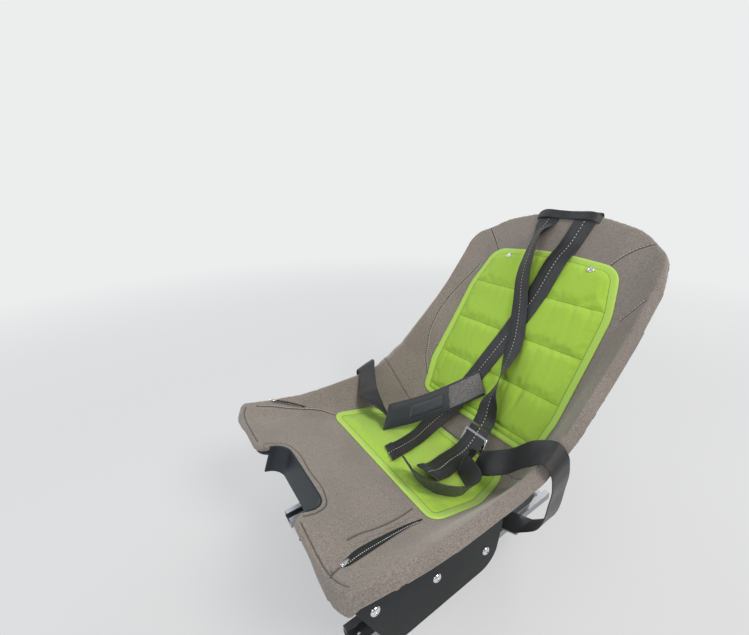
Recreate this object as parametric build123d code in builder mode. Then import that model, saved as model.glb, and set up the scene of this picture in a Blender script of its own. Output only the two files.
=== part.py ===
"""Bucket seat of a light aircraft with its four-point harness, on floor rails.

The frame stands on the cabin floor: X is to the occupant's left, Y to the rear, Z up.
The origin is the centre of the floor bolt pattern, on the floor.
"""
import os
from math import atan, atan2, cos, radians, sin, sqrt, tan

from build123d import *

# The bucket's own lines: two flat pads that meet at the hip line
hip_y = 120.0            # hip line, behind the middle of the rails
hip_z = 120.0            # hip line, above the floor
pan_rise = 18.9          # seat pad rises to the front, degrees
recline = 31.6           # back pad leans back from upright, degrees
pad_corner = 100.0       # radius between the two pads at the hips
turn_reach = 250.0       # the turn's sections fan out about an axis this far from the hip line
pan_length = 466.0       # hip line to the thigh tips
back_length = 612.0      # hip line to the top of the back

# Walls
cover_thick = 12.0
shell_thick = 4.0
lip_thick = 5.0
lip_length = 24.0
rim_cap = 8.0            # padding over the shell's edge
fit_gap = 0.4            # between the shell and its cover
end_hem = 6.0            # the cover stands past the shell's end by this

# Stick notch and end outlines
notch_half = 85.0
notch_depth = 59.0
notch_corner = 26.0
thigh_half = 243.0
thigh_corner = 42.0
tip_corner = 18.0
collar_thick = 3.5
collar_deep = 52.0
top_outline = ((241.5, 455.0, 200.0), (224.0, 530.0, 60.0), (163.0, 583.0, 120.0))
top_crown = 15.0         # apex of the top's straight lines, over the top edge
top_radius = 400.0
top_flare = 8.0          # the cut starts this far outside the top outline, clear of the rims
top_foot = 380.0

# Seat pads in the lime cloth
insert_thick = 9.0
insert_gap = 0.4
back_insert_outline = ((166.0, 57.0, 18.0), (181.0, 160.0, 200.0), (181.0, 392.0, 150.0), (146.0, 502.0, 42.0))
seat_insert_outline = ((134.0, 2.0, 26.0), (177.0, 150.0, 120.0), (174.0, 262.0, 24.0))

# Floor rails, shoes and side plates
rail_x = 137.0
rail_length = 540.0
rail_width = 38.0
rail_high = 18.0
rail_wall = 3.0
rail_slot = 14.0
bolt_y = 250.0
bolt_hole = 6.5
lock_hole = 8.0
lock_pitch = 20.0
lock_count = 13
slide_gap = 0.4
shoe_y = 170.0
shoe_length = 60.0
shoe_top = 31.0
shoe_head = 26.0
plate_x = 150.0
plate_thick = 3.0
flange_width = 26.0
tube_radius = 11.0
tube_wall = 1.5
tube_places = ((-190.0, 120.0), (145.0, 74.0))
screw_radius = 8.0
screw_high = 4.0
screw_socket = 2.5
socket_deep = 2.0
skirt_x = 206.0
skirt_thick = 3.0
skirt_places = ((-263.0, 180.0), (-150.0, 148.0), (-35.0, 118.0))
boss_radius = 9.0

lever_length = 150.0
lever_thick = 5.0

# Harness
web_width = 49.0
web_thick = 1.8
pad_width = 60.0
pad_thick = 7.0
patch_width = 31.0
patch_high = 2.0
patch_sunk = 1.0         # the patch starts this deep in the pad
anchor_plate = 3.0
anchor_drop = 167.0      # from the top edge down to the anchor on the shell's rear

hip = Vector(0, hip_y, hip_z)
pan_dir = Vector(0, -cos(radians(pan_rise)), sin(radians(pan_rise)))
pan_up = Vector(0, sin(radians(pan_rise)), cos(radians(pan_rise)))
back_dir = Vector(0, sin(radians(recline)), cos(radians(recline)))
back_up = Vector(0, -cos(radians(recline)), sin(radians(recline)))
full_turn = 90 + pan_rise - recline
side_dir = Vector(1, 0, 0)

turn_foot = turn_reach * sin(radians(full_turn) / 2)
anchor_place = back_length - anchor_drop

# Sections of the bucket from the thigh tips to the top of the back:
# place along the pad from the hip line (to the front is below zero), bands to the next section,
# knee half width, rim half width, rim height over the pad, knee radius
sections = (
    (-480.0, 2, 186.0, 230.0, 9.0, 90.0),
    (-330.0, 4, 183.0, 227.0, 29.0, 80.0),
    (-turn_foot, 2, 174.0, 225.0, 88.0, 64.0),
    (-0.45 * turn_foot, 3, 168.0, 225.0, 114.0, 62.0),
    (0.0, 3, 165.0, 226.0, 135.0, 62.0),
    (0.45 * turn_foot, 2, 168.0, 227.0, 120.0, 62.0),
    (turn_foot, 4, 174.0, 228.0, 93.0, 64.0),
    (370.0, 3, 186.0, 230.0, 37.0, 80.0),
    (630.0, 0, 186.0, 230.0, 12.0, 90.0),
)


def pad_at(region, place):
    """Point on the pad's middle line, and the direction that stands up from the pad there."""
    if region == "pan":
        return hip + pan_dir * place, pan_up
    if region == "back":
        return hip + back_dir * place, back_up
    half = radians(full_turn) / 2
    axis_point = hip + (pan_dir + back_dir).normalized() * turn_reach
    lean = radians(pan_rise) - 2 * half * place
    up = Vector(0, sin(lean), cos(lean))
    off_middle = abs(2 * place - 1) * half
    corner_ends = half - atan(tan(half) - pad_corner * tan(half) / (turn_reach * cos(half)))
    if off_middle < corner_ends:
        centre = turn_reach - pad_corner / cos(half)
        foot = centre * cos(off_middle) + sqrt(pad_corner**2 - (centre * sin(off_middle)) ** 2)
    else:
        foot = turn_reach * cos(half) / cos(half - off_middle)
    return axis_point - up * foot, up


def spot(along):
    """Region and place of a distance along the pad, which is below zero to the front."""
    if along <= -turn_foot:
        return "pan", -along
    if along >= turn_foot:
        return "back", along
    return "turn", (along / turn_foot + 1) / 2


def all_sections():
    """The table's sections, with more of them on smooth curves between its rows."""
    for index, row in enumerate(sections[:-1]):
        before, following = sections[max(index - 1, 0)], sections[index + 1]
        beyond = sections[min(index + 2, len(sections) - 1)]
        length = following[0] - row[0]
        for band in range(row[1]):
            t = band / row[1]
            shape = []
            for a, b, c, d in zip(before[2:], row[2:], following[2:], beyond[2:]):
                slope_in = (c - a) / (following[0] - before[0]) * length
                slope_out = (d - b) / (beyond[0] - row[0]) * length
                shape.append(
                    b + t * slope_in
                    + t**2 * (3 * (c - b) - 2 * slope_in - slope_out)
                    + t**3 * (2 * (b - c) + slope_in + slope_out)
                )
            yield *spot(row[0] + length * t), *shape
    yield *spot(sections[-1][0]), *sections[-1][2:]


def pad_plane(region, place):
    """Plane across the seat: local x is the seat's width, local y stands up from the pad."""
    point, up = pad_at(region, place)
    return Plane(origin=point, x_dir=side_dir, z_dir=side_dir.cross(up))


def on_pad(region, place, across, up):
    """Point of the seat's own frame, by its place along the pad, across it and above it."""
    point, normal = pad_at(region, place)
    return point + side_dir * across + normal * up


def rounded(corners):
    """Closed outline of straight lines and tangent arcs: corners are x, y and radius."""
    joints = []
    for before, corner, after in zip(corners[-1:] + corners[:-1], corners, corners[1:] + corners[:1]):
        here = Vector(corner[0], corner[1])
        back = (Vector(before[0], before[1]) - here).normalized()
        ahead = (Vector(after[0], after[1]) - here).normalized()
        half = radians(back.get_angle(ahead)) / 2
        reach = corner[2] / tan(half)
        middle = here + (back + ahead).normalized() * (corner[2] / sin(half) - corner[2])
        joints.append((here + back * reach, middle, here + ahead * reach, corner[2]))
    for joint, following in zip(joints, joints[1:] + joints[:1]):
        start, middle, end, radius = joint
        if radius:
            ThreePointArc(start, middle, end)
        Line(end, following[0])


def mirrored(half):
    """Corners of an outline that is alike on both sides, from the corners of its left half."""
    return [*half, *((-x, y, r) for x, y, r in reversed(half))]


def rim_offset(knee, rim, high):
    """Functions that give the rim and the knee of a layer at a depth below the bucket's face."""
    wall = atan2(high, rim - knee)

    def rim_at(depth, cut):
        return (rim + depth * sin(wall) - cut * cos(wall), high - depth * cos(wall) - cut * sin(wall), 0)

    def knee_at(depth, radius):
        return (knee + depth * tan(wall / 2), -depth, radius + depth)

    return rim_at, knee_at


def loft_bucket(outline):
    """Loft one outline through all the bucket's sections."""
    faces = []
    for region, place, knee, rim, high, radius in all_sections():
        rim_at, knee_at = rim_offset(knee, rim, high)
        with BuildSketch(pad_plane(region, place)) as section:
            with BuildLine():
                rounded(mirrored(outline(rim_at, knee_at, radius)))
            make_face()
        faces.append(section.sketch.face())
    loft(faces, ruled=True)


def shell_outline(rim_at, knee_at, radius):
    near = cover_thick + fit_gap
    far = near + shell_thick
    cut = rim_cap + fit_gap
    return [knee_at(near, radius), rim_at(near, cut), rim_at(far, cut), knee_at(far, radius)]


def cover_outline(rim_at, knee_at, radius):
    inner = cover_thick
    channel = inner + shell_thick + 2 * fit_gap
    outer = channel + lip_thick
    return [
        knee_at(0, radius),
        rim_at(0, 0),
        rim_at(outer, 0),
        rim_at(outer, lip_length),
        rim_at(channel, lip_length),
        rim_at(channel, rim_cap),
        rim_at(inner, rim_cap),
        knee_at(inner, radius),
    ]


def insert_band(rim_at, knee_at, radius):
    over = -insert_gap - insert_thick
    return [knee_at(-insert_gap, radius), rim_at(-insert_gap, 3), rim_at(over, 3), knee_at(over, radius)]


pan_plane = Plane(origin=hip, x_dir=side_dir, z_dir=pan_up * -1)
back_plane = Plane(origin=hip, x_dir=side_dir, z_dir=back_up)
hip_plane = pad_plane("turn", 0.5)


def trim_front(hem, notch_in):
    """Cut the thigh tips, set back by a hem, and the stick notch, smaller all round by notch_in."""
    tip = pan_length - hem
    floor = pan_length - notch_depth + notch_in
    notch = notch_half - notch_in
    corners = [
        (thigh_half, 250.0, 0),
        (thigh_half - hem, tip, thigh_corner),
        (notch, tip, tip_corner),
        (notch, floor, notch_corner - notch_in),
    ]
    with BuildSketch(pan_plane) as front_waste:
        with Locations((0, 450)):
            Rectangle(700, 200)
        with BuildLine():
            rounded(mirrored(corners))
        make_face(mode=Mode.SUBTRACT)
    extrude(front_waste.sketch, amount=160, both=True, mode=Mode.SUBTRACT)


def trim_top(hem):
    """Cut the rounded top of the back, set in by a hem from the cover's own edge."""
    corners = [(top_outline[0][0] + top_flare, top_foot, 0)]
    corners += [(x - hem, y - hem, r) for x, y, r in top_outline]
    outline = mirrored(corners)
    outline.insert(len(corners), (0, back_length + top_crown - hem, top_radius))
    with BuildSketch(back_plane) as top_waste:
        with Locations((0, top_foot)):
            Rectangle(700, 360, align=(Align.CENTER, Align.MIN))
        with BuildLine():
            rounded(outline)
        make_face(mode=Mode.SUBTRACT)
    extrude(top_waste.sketch, amount=120, both=True, mode=Mode.SUBTRACT)


def keep_side(plane, side):
    """Keep what lies on one side of a plane across the seat, half a seam's gap away from it."""
    split(bisect_by=plane.offset(side * fit_gap / 2), keep=Keep.TOP if side > 0 else Keep.BOTTOM)


def save(piece, label):
    piece.part.label = label
    export_step(piece.part, f"parts/{label}.step")


os.makedirs("parts", exist_ok=True)

# Composite bucket shell, with a turned-down collar round the stick notch
with BuildPart() as seat_shell:
    loft_bucket(shell_outline)
    trim_front(end_hem, fit_gap + collar_thick)
    trim_top(end_hem)
    notch_floor = pan_length - notch_depth
    with BuildSketch(pan_plane.offset(fit_gap)):
        for wall, mode in ((0, Mode.ADD), (collar_thick, Mode.SUBTRACT)):
            with BuildLine():
                rounded(mirrored([
                    (notch_half - fit_gap - wall, pan_length - end_hem - tip_corner, 0),
                    (notch_half - fit_gap - wall, notch_floor + fit_gap + wall, notch_corner - fit_gap - wall),
                ]))
            make_face(mode=mode)
    extrude(amount=collar_deep)
save(seat_shell, "seat_shell")

# Padded covers of the thighs and of the back, which hook over the shell's rim
with BuildPart() as whole_cover:
    loft_bucket(cover_outline)
    trim_front(0, 0)
    trim_top(0)
for label, side in (("pan_cover", 1), ("back_cover", -1)):
    with BuildPart() as cover:
        add(whole_cover.part)
        keep_side(hip_plane, side)
    save(cover, label)

# Lime pads of the seat and of the back
with BuildPart() as back_insert:
    loft_bucket(insert_band)
    with BuildSketch(back_plane):
        with BuildLine():
            rounded(mirrored(back_insert_outline))
        make_face()
    extrude(amount=60, both=True, mode=Mode.INTERSECT)
save(back_insert, "back_insert")

with BuildPart() as seat_insert:
    loft_bucket(insert_band)
    with BuildSketch(pan_plane):
        with BuildLine():
            rounded(mirrored(seat_insert_outline))
        make_face()
    extrude(amount=60, both=True, mode=Mode.INTERSECT)
save(seat_insert, "seat_insert")

# Floor rails, open along their top
for label, side in (("rail_left", 1), ("rail_right", -1)):
    with BuildPart() as rail:
        with BuildSketch(Plane.XZ.offset(-rail_length / 2)):
            with Locations((side * rail_x, rail_high / 2)):
                Rectangle(rail_width, rail_high)
                Rectangle(rail_width - 2 * rail_wall, rail_high - 2 * rail_wall, mode=Mode.SUBTRACT)
            with Locations((side * rail_x, rail_high - rail_wall / 2)):
                Rectangle(rail_slot, rail_wall * 2, mode=Mode.SUBTRACT)
        extrude(amount=rail_length)
        with BuildSketch():
            with Locations((side * rail_x, 0)):
                with GridLocations(1, 2 * bolt_y, 1, 2):
                    Circle(bolt_hole / 2)
                with GridLocations(1, lock_pitch, 1, lock_count):
                    Circle(lock_hole / 2)
        extrude(amount=rail_wall, mode=Mode.SUBTRACT)
    save(rail, label)

# Shoes that slide in the rails: a foot inside, a neck in the slot and a block on top
for label, side in (("shoes_left", 1), ("shoes_right", -1)):
    with BuildPart() as shoes:
        with BuildSketch(Plane.XZ.offset(shoe_length / 2)) as shoe_section:
            foot = rail_high - 2 * rail_wall - 2 * slide_gap
            neck_top = rail_high + slide_gap
            with Locations((0, rail_wall + slide_gap + foot / 2)):
                Rectangle(rail_width - 2 * rail_wall - 2 * slide_gap, foot)
            with Locations((0, (rail_high - rail_wall + neck_top) / 2)):
                Rectangle(rail_slot - 2 * slide_gap, rail_wall + 4 * slide_gap)
            with Locations((0, (neck_top + shoe_top) / 2)):
                Rectangle(shoe_head, shoe_top - neck_top)
        for y in (-shoe_y, shoe_y):
            with Locations((side * rail_x, y, 0)):
                add(extrude(shoe_section.sketch, amount=-shoe_length, mode=Mode.PRIVATE))
    save(shoes, label)

# Side plates between the shoes and the shell, with a flange above and below
under = cover_thick + fit_gap + shell_thick + fit_gap
plate_path = (
    on_pad("pan", 450, 0, -under),
    on_pad("pan", 195, 0, -under),
    Vector(0, hip_y - 100, hip_z - 5),
    Vector(0, hip_y + 25, hip_z - 5),
    on_pad("back", 96, 0, -under - 6),
    Vector(0, shoe_y + shoe_length / 2 + 6, shoe_top),
    Vector(0, -shoe_y - shoe_length / 2 - 6, shoe_top),
)
plate_holes = ((-128.0, 92.0, 36.0), (-30.0, 74.0, 27.0), (55.0, 68.0, 22.0))
for label, side in (("side_plate_left", 1), ("side_plate_right", -1)):
    inner = min(side * plate_x, side * (plate_x + plate_thick))
    with BuildPart() as side_plate:
        with BuildSketch(Plane.YZ.offset(inner)):
            with BuildLine():
                rounded([
                    (point.Y, point.Z, corner)
                    for point, corner in zip(plate_path, (4, 60, 30, 30, 14, 10, 10))
                ])
            make_face()
            for y, z, radius in plate_holes:
                with Locations((y, z)):
                    Circle(radius, mode=Mode.SUBTRACT)
        extrude(amount=plate_thick)
        middle = side * (plate_x - flange_width / 2)
        with BuildSketch(Plane.XY.offset(shoe_top)):
            with Locations((middle, 0)):
                Rectangle(flange_width, 2 * shoe_y + shoe_length)
        extrude(amount=plate_thick)
        with BuildSketch(Plane(origin=on_pad("pan", 310, middle, -under), x_dir=side_dir, z_dir=pan_up * -1)):
            Rectangle(flange_width, 200)
        extrude(amount=plate_thick)
    save(side_plate, label)

# Cross tubes that hold the side plates apart
for label, place in (("cross_tube_front", tube_places[0]), ("cross_tube_rear", tube_places[1])):
    with BuildPart() as tube:
        with BuildSketch(Plane.YZ.offset(-plate_x)):
            with Locations(place):
                Circle(tube_radius)
                Circle(tube_radius - tube_wall, mode=Mode.SUBTRACT)
        extrude(amount=2 * plate_x)
    save(tube, label)

# Black skirts under the bucket's sides, on bosses that stand on the side plates
skirt_path = (
    on_pad("pan", 452, 0, -20),
    on_pad("pan", 330, 0, -10),
    on_pad("pan", 180, 0, 9),
    Vector(0, 8, 184),
    Vector(0, -6, 68),
    Vector(0, -232, 68),
)
for label, side in (("side_skirt_left", 1), ("side_skirt_right", -1)):
    plate_face = plate_x + plate_thick + fit_gap
    with BuildPart() as side_skirt:
        with BuildSketch(Plane.YZ.offset(min(side * skirt_x, side * (skirt_x + skirt_thick)))):
            with BuildLine():
                rounded([
                    (point.Y, point.Z, corner)
                    for point, corner in zip(skirt_path, (12, 300, 120, 30, 40, 40))
                ])
            make_face()
        extrude(amount=skirt_thick)
        for y, z in skirt_places:
            with BuildSketch(Plane(origin=(side * plate_face, y, z), z_dir=(side, 0, 0))):
                Circle(boss_radius)
            extrude(amount=skirt_x - plate_face)
    save(side_skirt, label)

# Domed screws outside the plates, at the ends of the tubes, and outside the skirts, at the bosses
for label, side in (("screws_left", 1), ("screws_right", -1)):
    with BuildPart() as screws:
        for x, places in ((plate_x + plate_thick, tube_places), (skirt_x + skirt_thick, skirt_places)):
            for y, z in places:
                with BuildSketch(Plane(origin=(side * x, y, z), z_dir=(side, 0, 0))) as head:
                    Circle(screw_radius)
                    Circle(screw_socket, mode=Mode.SUBTRACT)
                extrude(amount=screw_high)
                with BuildSketch(head.workplanes[0]):
                    Circle(screw_radius)
                extrude(amount=screw_high - socket_deep)
        rims = screws.edges().filter_by(GeomType.CIRCLE).filter_by(lambda edge: edge.radius > screw_socket)
        outer = [edge for edge in rims if min(
            abs(abs(edge.center().X) - x - screw_high) for x in (plate_x + plate_thick, skirt_x + skirt_thick)
        ) < 0.01]
        fillet(outer, screw_high * 0.7)
    save(screws, label)

# Lever that lifts the lock pin, on the left plate
with BuildPart() as lock_lever:
    with BuildSketch(Plane.YZ.offset(plate_x + plate_thick + fit_gap)):
        with Locations((-150, 52)):
            SlotCenterToCenter(lever_length, 16, rotation=-6)
    extrude(amount=lever_thick)
    with BuildSketch(Plane.YZ.offset(plate_x + plate_thick + fit_gap + lever_thick)):
        with Locations((-150 - lever_length / 2 + 4, 60)):
            Circle(13)
    extrude(amount=12)
    fillet(lock_lever.faces().sort_by(Axis.X)[-1].edges(), 4)
save(lock_lever, "lock_lever")


def laid(region, place, across, up, skew=0, fold=0, tilt=0):
    """Station of webbing on the seat: turned in its face, folded over an edge, one edge lifted."""
    foot, normal = pad_at(region, place)
    along = normal.cross(side_dir)
    normal, along = (
        normal * cos(radians(fold)) + along * sin(radians(fold)),
        along * cos(radians(fold)) - normal * sin(radians(fold)),
    )
    width_dir = side_dir * cos(radians(skew)) + along * sin(radians(skew))
    width_dir = width_dir * cos(radians(tilt)) + normal * sin(radians(tilt))
    return on_pad(region, place, across, up), width_dir


def hung(x, y, z, *width_dir):
    """Station of webbing in the air, measured from the hip line."""
    return hip + Vector(x, y, z), Vector(*width_dir).normalized()


def ribbon(stations, width, thick):
    """Flat webbing through stations: the middle of its underside and its width's direction."""
    faces = []
    places = [place for place, width_dir in stations]
    for index, (place, width_dir) in enumerate(stations):
        ahead = places[min(index + 1, len(places) - 1)] - places[max(index - 1, 0)]
        ahead = ahead - width_dir * ahead.dot(width_dir)
        with BuildSketch(Plane(origin=place, x_dir=width_dir, z_dir=ahead)) as cut:
            Rectangle(width, thick, align=(Align.CENTER, Align.MIN))
        faces.append(cut.sketch.face())
    for start, end in zip(faces, faces[1:]):
        loft([start, end], ruled=True)


# Shoulder straps: from the anchor on the shell's rear, over the top edge and down the back pad
rear = -(under + anchor_plate + fit_gap)
over = back_length + 1.5
on_insert = insert_gap + insert_thick + 0.8
strap_left = (
    laid("back", anchor_place - 18, 30, rear, 0, 180),
    laid("back", anchor_place + 30, 30, rear, 0, 180),
    laid("back", over - 6, 41, rear, 0, 165),
    laid("back", over + 1, 42, rear + 5, 0, 110),
    laid("back", over + 1, 43, -1, 0, 70),
    laid("back", over - 8, 42, 1.9, 0, 12),
    laid("back", 585, 40, 2.2, 2),
    laid("back", 520, 31, 5, 5),
    laid("back", 502, 29, on_insert + 1.2, 5),
    laid("back", 391, 15, on_insert, 8),
    laid("back", 314, 0, on_insert, 12),
    laid("back", 217, -24, on_insert, 14),
    laid("back", 170, -36, on_insert, 14),
    laid("turn", 0.72, -52, on_insert + 6, 14),
    laid("turn", 0.35, -54, on_insert + 12, -10),
    laid("pan", 110, -34, on_insert + 3, -18),
    laid("pan", 150, -22, on_insert, -18),
    laid("pan", 228, 4, on_insert, -18),
)
strap_right = (
    laid("back", anchor_place - 18, -30, rear, 0, 180),
    laid("back", anchor_place + 30, -30, rear, 0, 180),
    laid("back", over - 6, -44, rear, 0, 165),
    laid("back", over + 1, -45, rear + 5, 0, 110),
    laid("back", over + 1, -46, -1, 0, 70),
    laid("back", over - 8, -46, 1.9, 0, 12),
    laid("back", 588, -46, 2.4, 0, 0, 0),
    laid("back", 532, -42, 21, -3, 0, 30),
    laid("back", 427, -28, on_insert + 10, -16, 0, 12),
    laid("back", 355, -3, on_insert + 5, -20),
    laid("back", 290, 18, on_insert + 5, -18),
    laid("back", 225, 33, on_insert + 14, -4, 0, 30),
    laid("back", 155, 42, on_insert + 28, 2, 0, 70),
    laid("back", 100, 47, on_insert + 30, 2, 0, 50),
    laid("back", 72, 50, on_insert + 27, 2),
    laid("back", 48, 50, on_insert + 27.9),
)
for label, stations in (("shoulder_strap_left", strap_left), ("shoulder_strap_right", strap_right)):
    with BuildPart() as strap:
        ribbon(stations, web_width, web_thick)
    save(strap, label)

# Keeper band that holds both shoulder straps to the top edge
with BuildPart() as strap_keeper:
    with BuildSketch(Plane(origin=on_pad("back", over - 10, -2, 4.6), x_dir=side_dir, z_dir=back_up)):
        RectangleRounded(152, 20, 3)
    extrude(amount=web_thick)
save(strap_keeper, "strap_keeper")

# Ladder adjuster at the end of the right shoulder strap, and the tail that hangs from it
adjuster_plane = Plane(origin=on_pad("back", 43, 50, on_insert + 30), x_dir=side_dir, z_dir=back_up)
with BuildPart() as shoulder_adjuster:
    with BuildSketch(adjuster_plane):
        RectangleRounded(62, 34, 5)
        with GridLocations(1, 15, 1, 2):
            SlotOverall(52, 9, mode=Mode.SUBTRACT)
    extrude(amount=4)
    fillet(shoulder_adjuster.faces().sort_by(Axis.Y)[:1].edges(), 1.2)
save(shoulder_adjuster, "shoulder_adjuster")
with BuildPart() as strap_tail:
    ribbon(
        (
            laid("back", 42, 50, on_insert + 27.9),
            laid("back", 22, 51, on_insert + 27),
            laid("turn", 0.42, 56, on_insert + 22, 4),
            laid("pan", 110, 66, on_insert + 6, 12),
            laid("pan", 150, 76, on_insert, 14),
            laid("pan", 206, 90, on_insert, 14),
        ),
        web_width,
        web_thick,
    )
save(strap_tail, "strap_tail")

# Lap straps: from their anchors, over the bucket's sides and down to the lap
lap_left = (
    hung(201.1, -24, -45, 0, 1, 0),
    hung(236, -26, 0, 0, 1, 0),
    hung(251, -32, 80, 0, 0.97, 0.25),
    hung(255, -42, 134, 0, 0.92, 0.4),
    hung(251, -46, 158, 0, 0.9, 0.42),
    hung(238, -48, 171, 0, 0.9, 0.45),
    hung(205, -51, 152, -0.15, 0.6, 0.8),
    hung(165, -58, 108, -0.2, 0.5, 0.84),
    hung(128, -72, 84, -0.3, 0.7, 0.65),
    hung(100, -64, 66, -0.2, 0.9, 0.4),
)
lap_right = (
    hung(-200.6, -60, -45.7, 0, 1, 0),
    hung(-236, -74, 0, 0, 1, 0),
    hung(-251, -96, 80, 0, 0.98, 0.2),
    hung(-254, -106, 120, 0, 0.95, 0.3),
    hung(-249, -110, 141, 0, 0.93, 0.35),
    hung(-236, -112, 150, 0.1, 0.93, 0.35),
    hung(-208, -127, 134, 0.1, 0.9, 0.42),
    hung(-180, -142, 106, 0.3, 0.9, 0.2),
    hung(-142, -150, 98, 0.5, 0.8, -0.3),
    hung(-96, -154, 98, 0.4, 0.5, -0.75),
)
for label, stations in (("lap_strap_left", lap_left), ("lap_strap_right", lap_right)):
    with BuildPart() as strap:
        ribbon(stations, web_width, web_thick)
    save(strap, label)

# Rest of the left lap strap: it turns back, then curves on its edge round the tail on the seat pad.
# Lower edge: distance before the hip line, across, over the insert;
# the way that it leans: to the front, across; and its lean from upright
loop_table = (
    (98.7, 103.2, 14.3, -0.96, -0.27, 48.0),
    (101.0, 92.0, 8.0, -1.0, 0.0, 22.0),
    (109.0, 95.0, 4.0, 0.0, 1.0, 4.0),
    (118.0, 113.0, 2.0, -0.2, 1.0, 12.0),
    (133.0, 134.0, 1.2, -0.1, 1.0, 20.0),
    (160.0, 146.0, 1.2, 0.15, 1.0, 22.0),
    (196.0, 140.0, 0.8, 0.6, 0.8, 24.0),
    (221.0, 116.0, 0.8, 0.95, 0.3, 26.0),
    (226.0, 90.0, 0.8, 1.0, 0.0, 28.0),
    (220.0, 66.0, 0.8, 1.0, -0.2, 30.0),
)


def on_edge(place, across, over, lean_front, lean_across, lean):
    """Station of webbing that stands on its edge on the seat insert."""
    outward = (pan_dir * lean_front + side_dir * lean_across).normalized()
    width_dir = pan_up * cos(radians(lean)) + outward * sin(radians(lean))
    return on_pad("pan", place, across, on_insert + over) + width_dir * (web_width / 2), width_dir


with BuildPart() as loop_strap:
    ribbon([on_edge(*row) for row in loop_table], web_width, web_thick)
save(loop_strap, "loop_strap")

# Wide pad on the right lap strap, with a raised patch
pad_stations = (
    hung(-84, -156, 96, 0.3, -0.5, -0.81),
    hung(-60, -80, 102, 0.35, -0.4, -0.85),
    hung(-33, -4, 122, 0.5, -0.36, -0.79),
    hung(-5, 66, 150, 0.7, -0.36, -0.62),
)


def on_belt_pad(first, share, sunk):
    """Station between two of the pad's own, turned to the pad's face."""
    (start, start_dir), (end, end_dir) = pad_stations[first], pad_stations[first + 1]
    width_dir = (start_dir + (end_dir - start_dir) * share).normalized()
    inward = (end - start).cross(width_dir).normalized()
    return start + (end - start) * share + inward * sunk, width_dir * -1


with BuildPart() as lap_pad:
    ribbon(pad_stations, pad_width, pad_thick)
    ribbon(
        (on_belt_pad(0, 0.7, patch_sunk), on_belt_pad(1, 0, patch_sunk), on_belt_pad(1, 0.8, patch_sunk)),
        patch_width,
        patch_high + patch_sunk,
    )
save(lap_pad, "lap_pad")

# Lap strap anchors: bent plates on the side plates
for label, side, y in (("lap_anchor_left", 1, -24), ("lap_anchor_right", -1, -60)):
    start = plate_x + plate_thick + fit_gap
    bend = (
        (side * start, hip_z - 92),
        (side * (start + 3), hip_z - 92),
        (side * (start + 3), hip_z - 72),
        (side * 202, hip_z - 48),
        (side * 200, hip_z - 45.4),
        (side * start, hip_z - 68),
    )
    with BuildPart() as lap_anchor:
        with BuildSketch(Plane.XZ.offset(-(hip_y + y + 28))):
            with BuildLine():
                Polyline(*bend, close=True)
            make_face()
        extrude(amount=56)
    save(lap_anchor, label)

# Press studs at the top of the back pad
with BuildPart() as back_snaps:
    snap_place = on_pad("back", 482, 0, insert_gap + insert_thick + fit_gap)
    with BuildSketch(Plane(origin=snap_place, x_dir=side_dir, z_dir=back_up)):
        with GridLocations(204, 1, 2, 1):
            Circle(6.5)
    extrude(amount=2.5)
save(back_snaps, "back_snaps")

# Anchor of the shoulder straps on the shell's rear: a plate and the bar that clamps the webbing
rear_plane = Plane(origin=on_pad("back", anchor_place, 0, -under), x_dir=side_dir, z_dir=back_up * -1)
with BuildPart() as shoulder_anchor:
    with BuildSketch(rear_plane):
        RectangleRounded(150, 56, 8)
    extrude(amount=anchor_plate - fit_gap)
save(shoulder_anchor, "shoulder_anchor")
with BuildPart() as anchor_bar:
    with BuildSketch(rear_plane.offset(anchor_plate + web_thick + fit_gap)):
        RectangleRounded(150, 18, 6)
    extrude(amount=4)
    with BuildSketch(rear_plane.offset(anchor_plate)):
        with GridLocations(130, 1, 2, 1):
            Circle(6)
        Circle(4)
    extrude(amount=web_thick + fit_gap)
save(anchor_bar, "anchor_bar")
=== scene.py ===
import math
import bmesh
import bpy
from mathutils import Matrix, Vector, noise
from mathutils.bvhtree import BVHTree
from mathutils.kdtree import KDTree


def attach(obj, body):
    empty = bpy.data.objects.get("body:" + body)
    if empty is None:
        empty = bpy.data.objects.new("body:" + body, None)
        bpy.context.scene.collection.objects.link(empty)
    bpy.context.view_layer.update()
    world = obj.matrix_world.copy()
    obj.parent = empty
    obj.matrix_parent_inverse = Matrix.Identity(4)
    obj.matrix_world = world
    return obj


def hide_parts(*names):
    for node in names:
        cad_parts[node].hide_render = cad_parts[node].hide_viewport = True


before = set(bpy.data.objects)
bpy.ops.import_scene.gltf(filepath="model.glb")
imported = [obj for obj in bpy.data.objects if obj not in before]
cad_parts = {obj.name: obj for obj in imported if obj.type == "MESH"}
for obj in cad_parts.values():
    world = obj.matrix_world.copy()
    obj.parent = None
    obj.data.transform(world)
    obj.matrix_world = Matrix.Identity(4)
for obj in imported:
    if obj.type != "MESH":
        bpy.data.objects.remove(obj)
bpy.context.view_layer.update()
print("frame loaded")


# The seat's own lines, in metres: two flat pads that meet at the hip line
seatLines = {
    "hip": Vector((0, 0.120, 0.120)),
    "panRise": math.radians(18.9),
    "recline": math.radians(31.6),
    "padCorner": 0.100,
    "turnReach": 0.250,
    "panLength": 0.466,
    "backLength": 0.612,
}
sideDir = Vector((1, 0, 0))
hipPoint = seatLines["hip"]
panDir = Vector((0, -math.cos(seatLines["panRise"]), math.sin(seatLines["panRise"])))
panUp = Vector((0, math.sin(seatLines["panRise"]), math.cos(seatLines["panRise"])))
backDir = Vector((0, math.sin(seatLines["recline"]), math.cos(seatLines["recline"])))
backUp = Vector((0, -math.cos(seatLines["recline"]), math.sin(seatLines["recline"])))
halfTurn = (math.pi / 2 + seatLines["panRise"] - seatLines["recline"]) / 2
turnFoot = seatLines["turnReach"] * math.sin(halfTurn)
turnAxis = hipPoint + (panDir + backDir).normalized() * seatLines["turnReach"]


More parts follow.
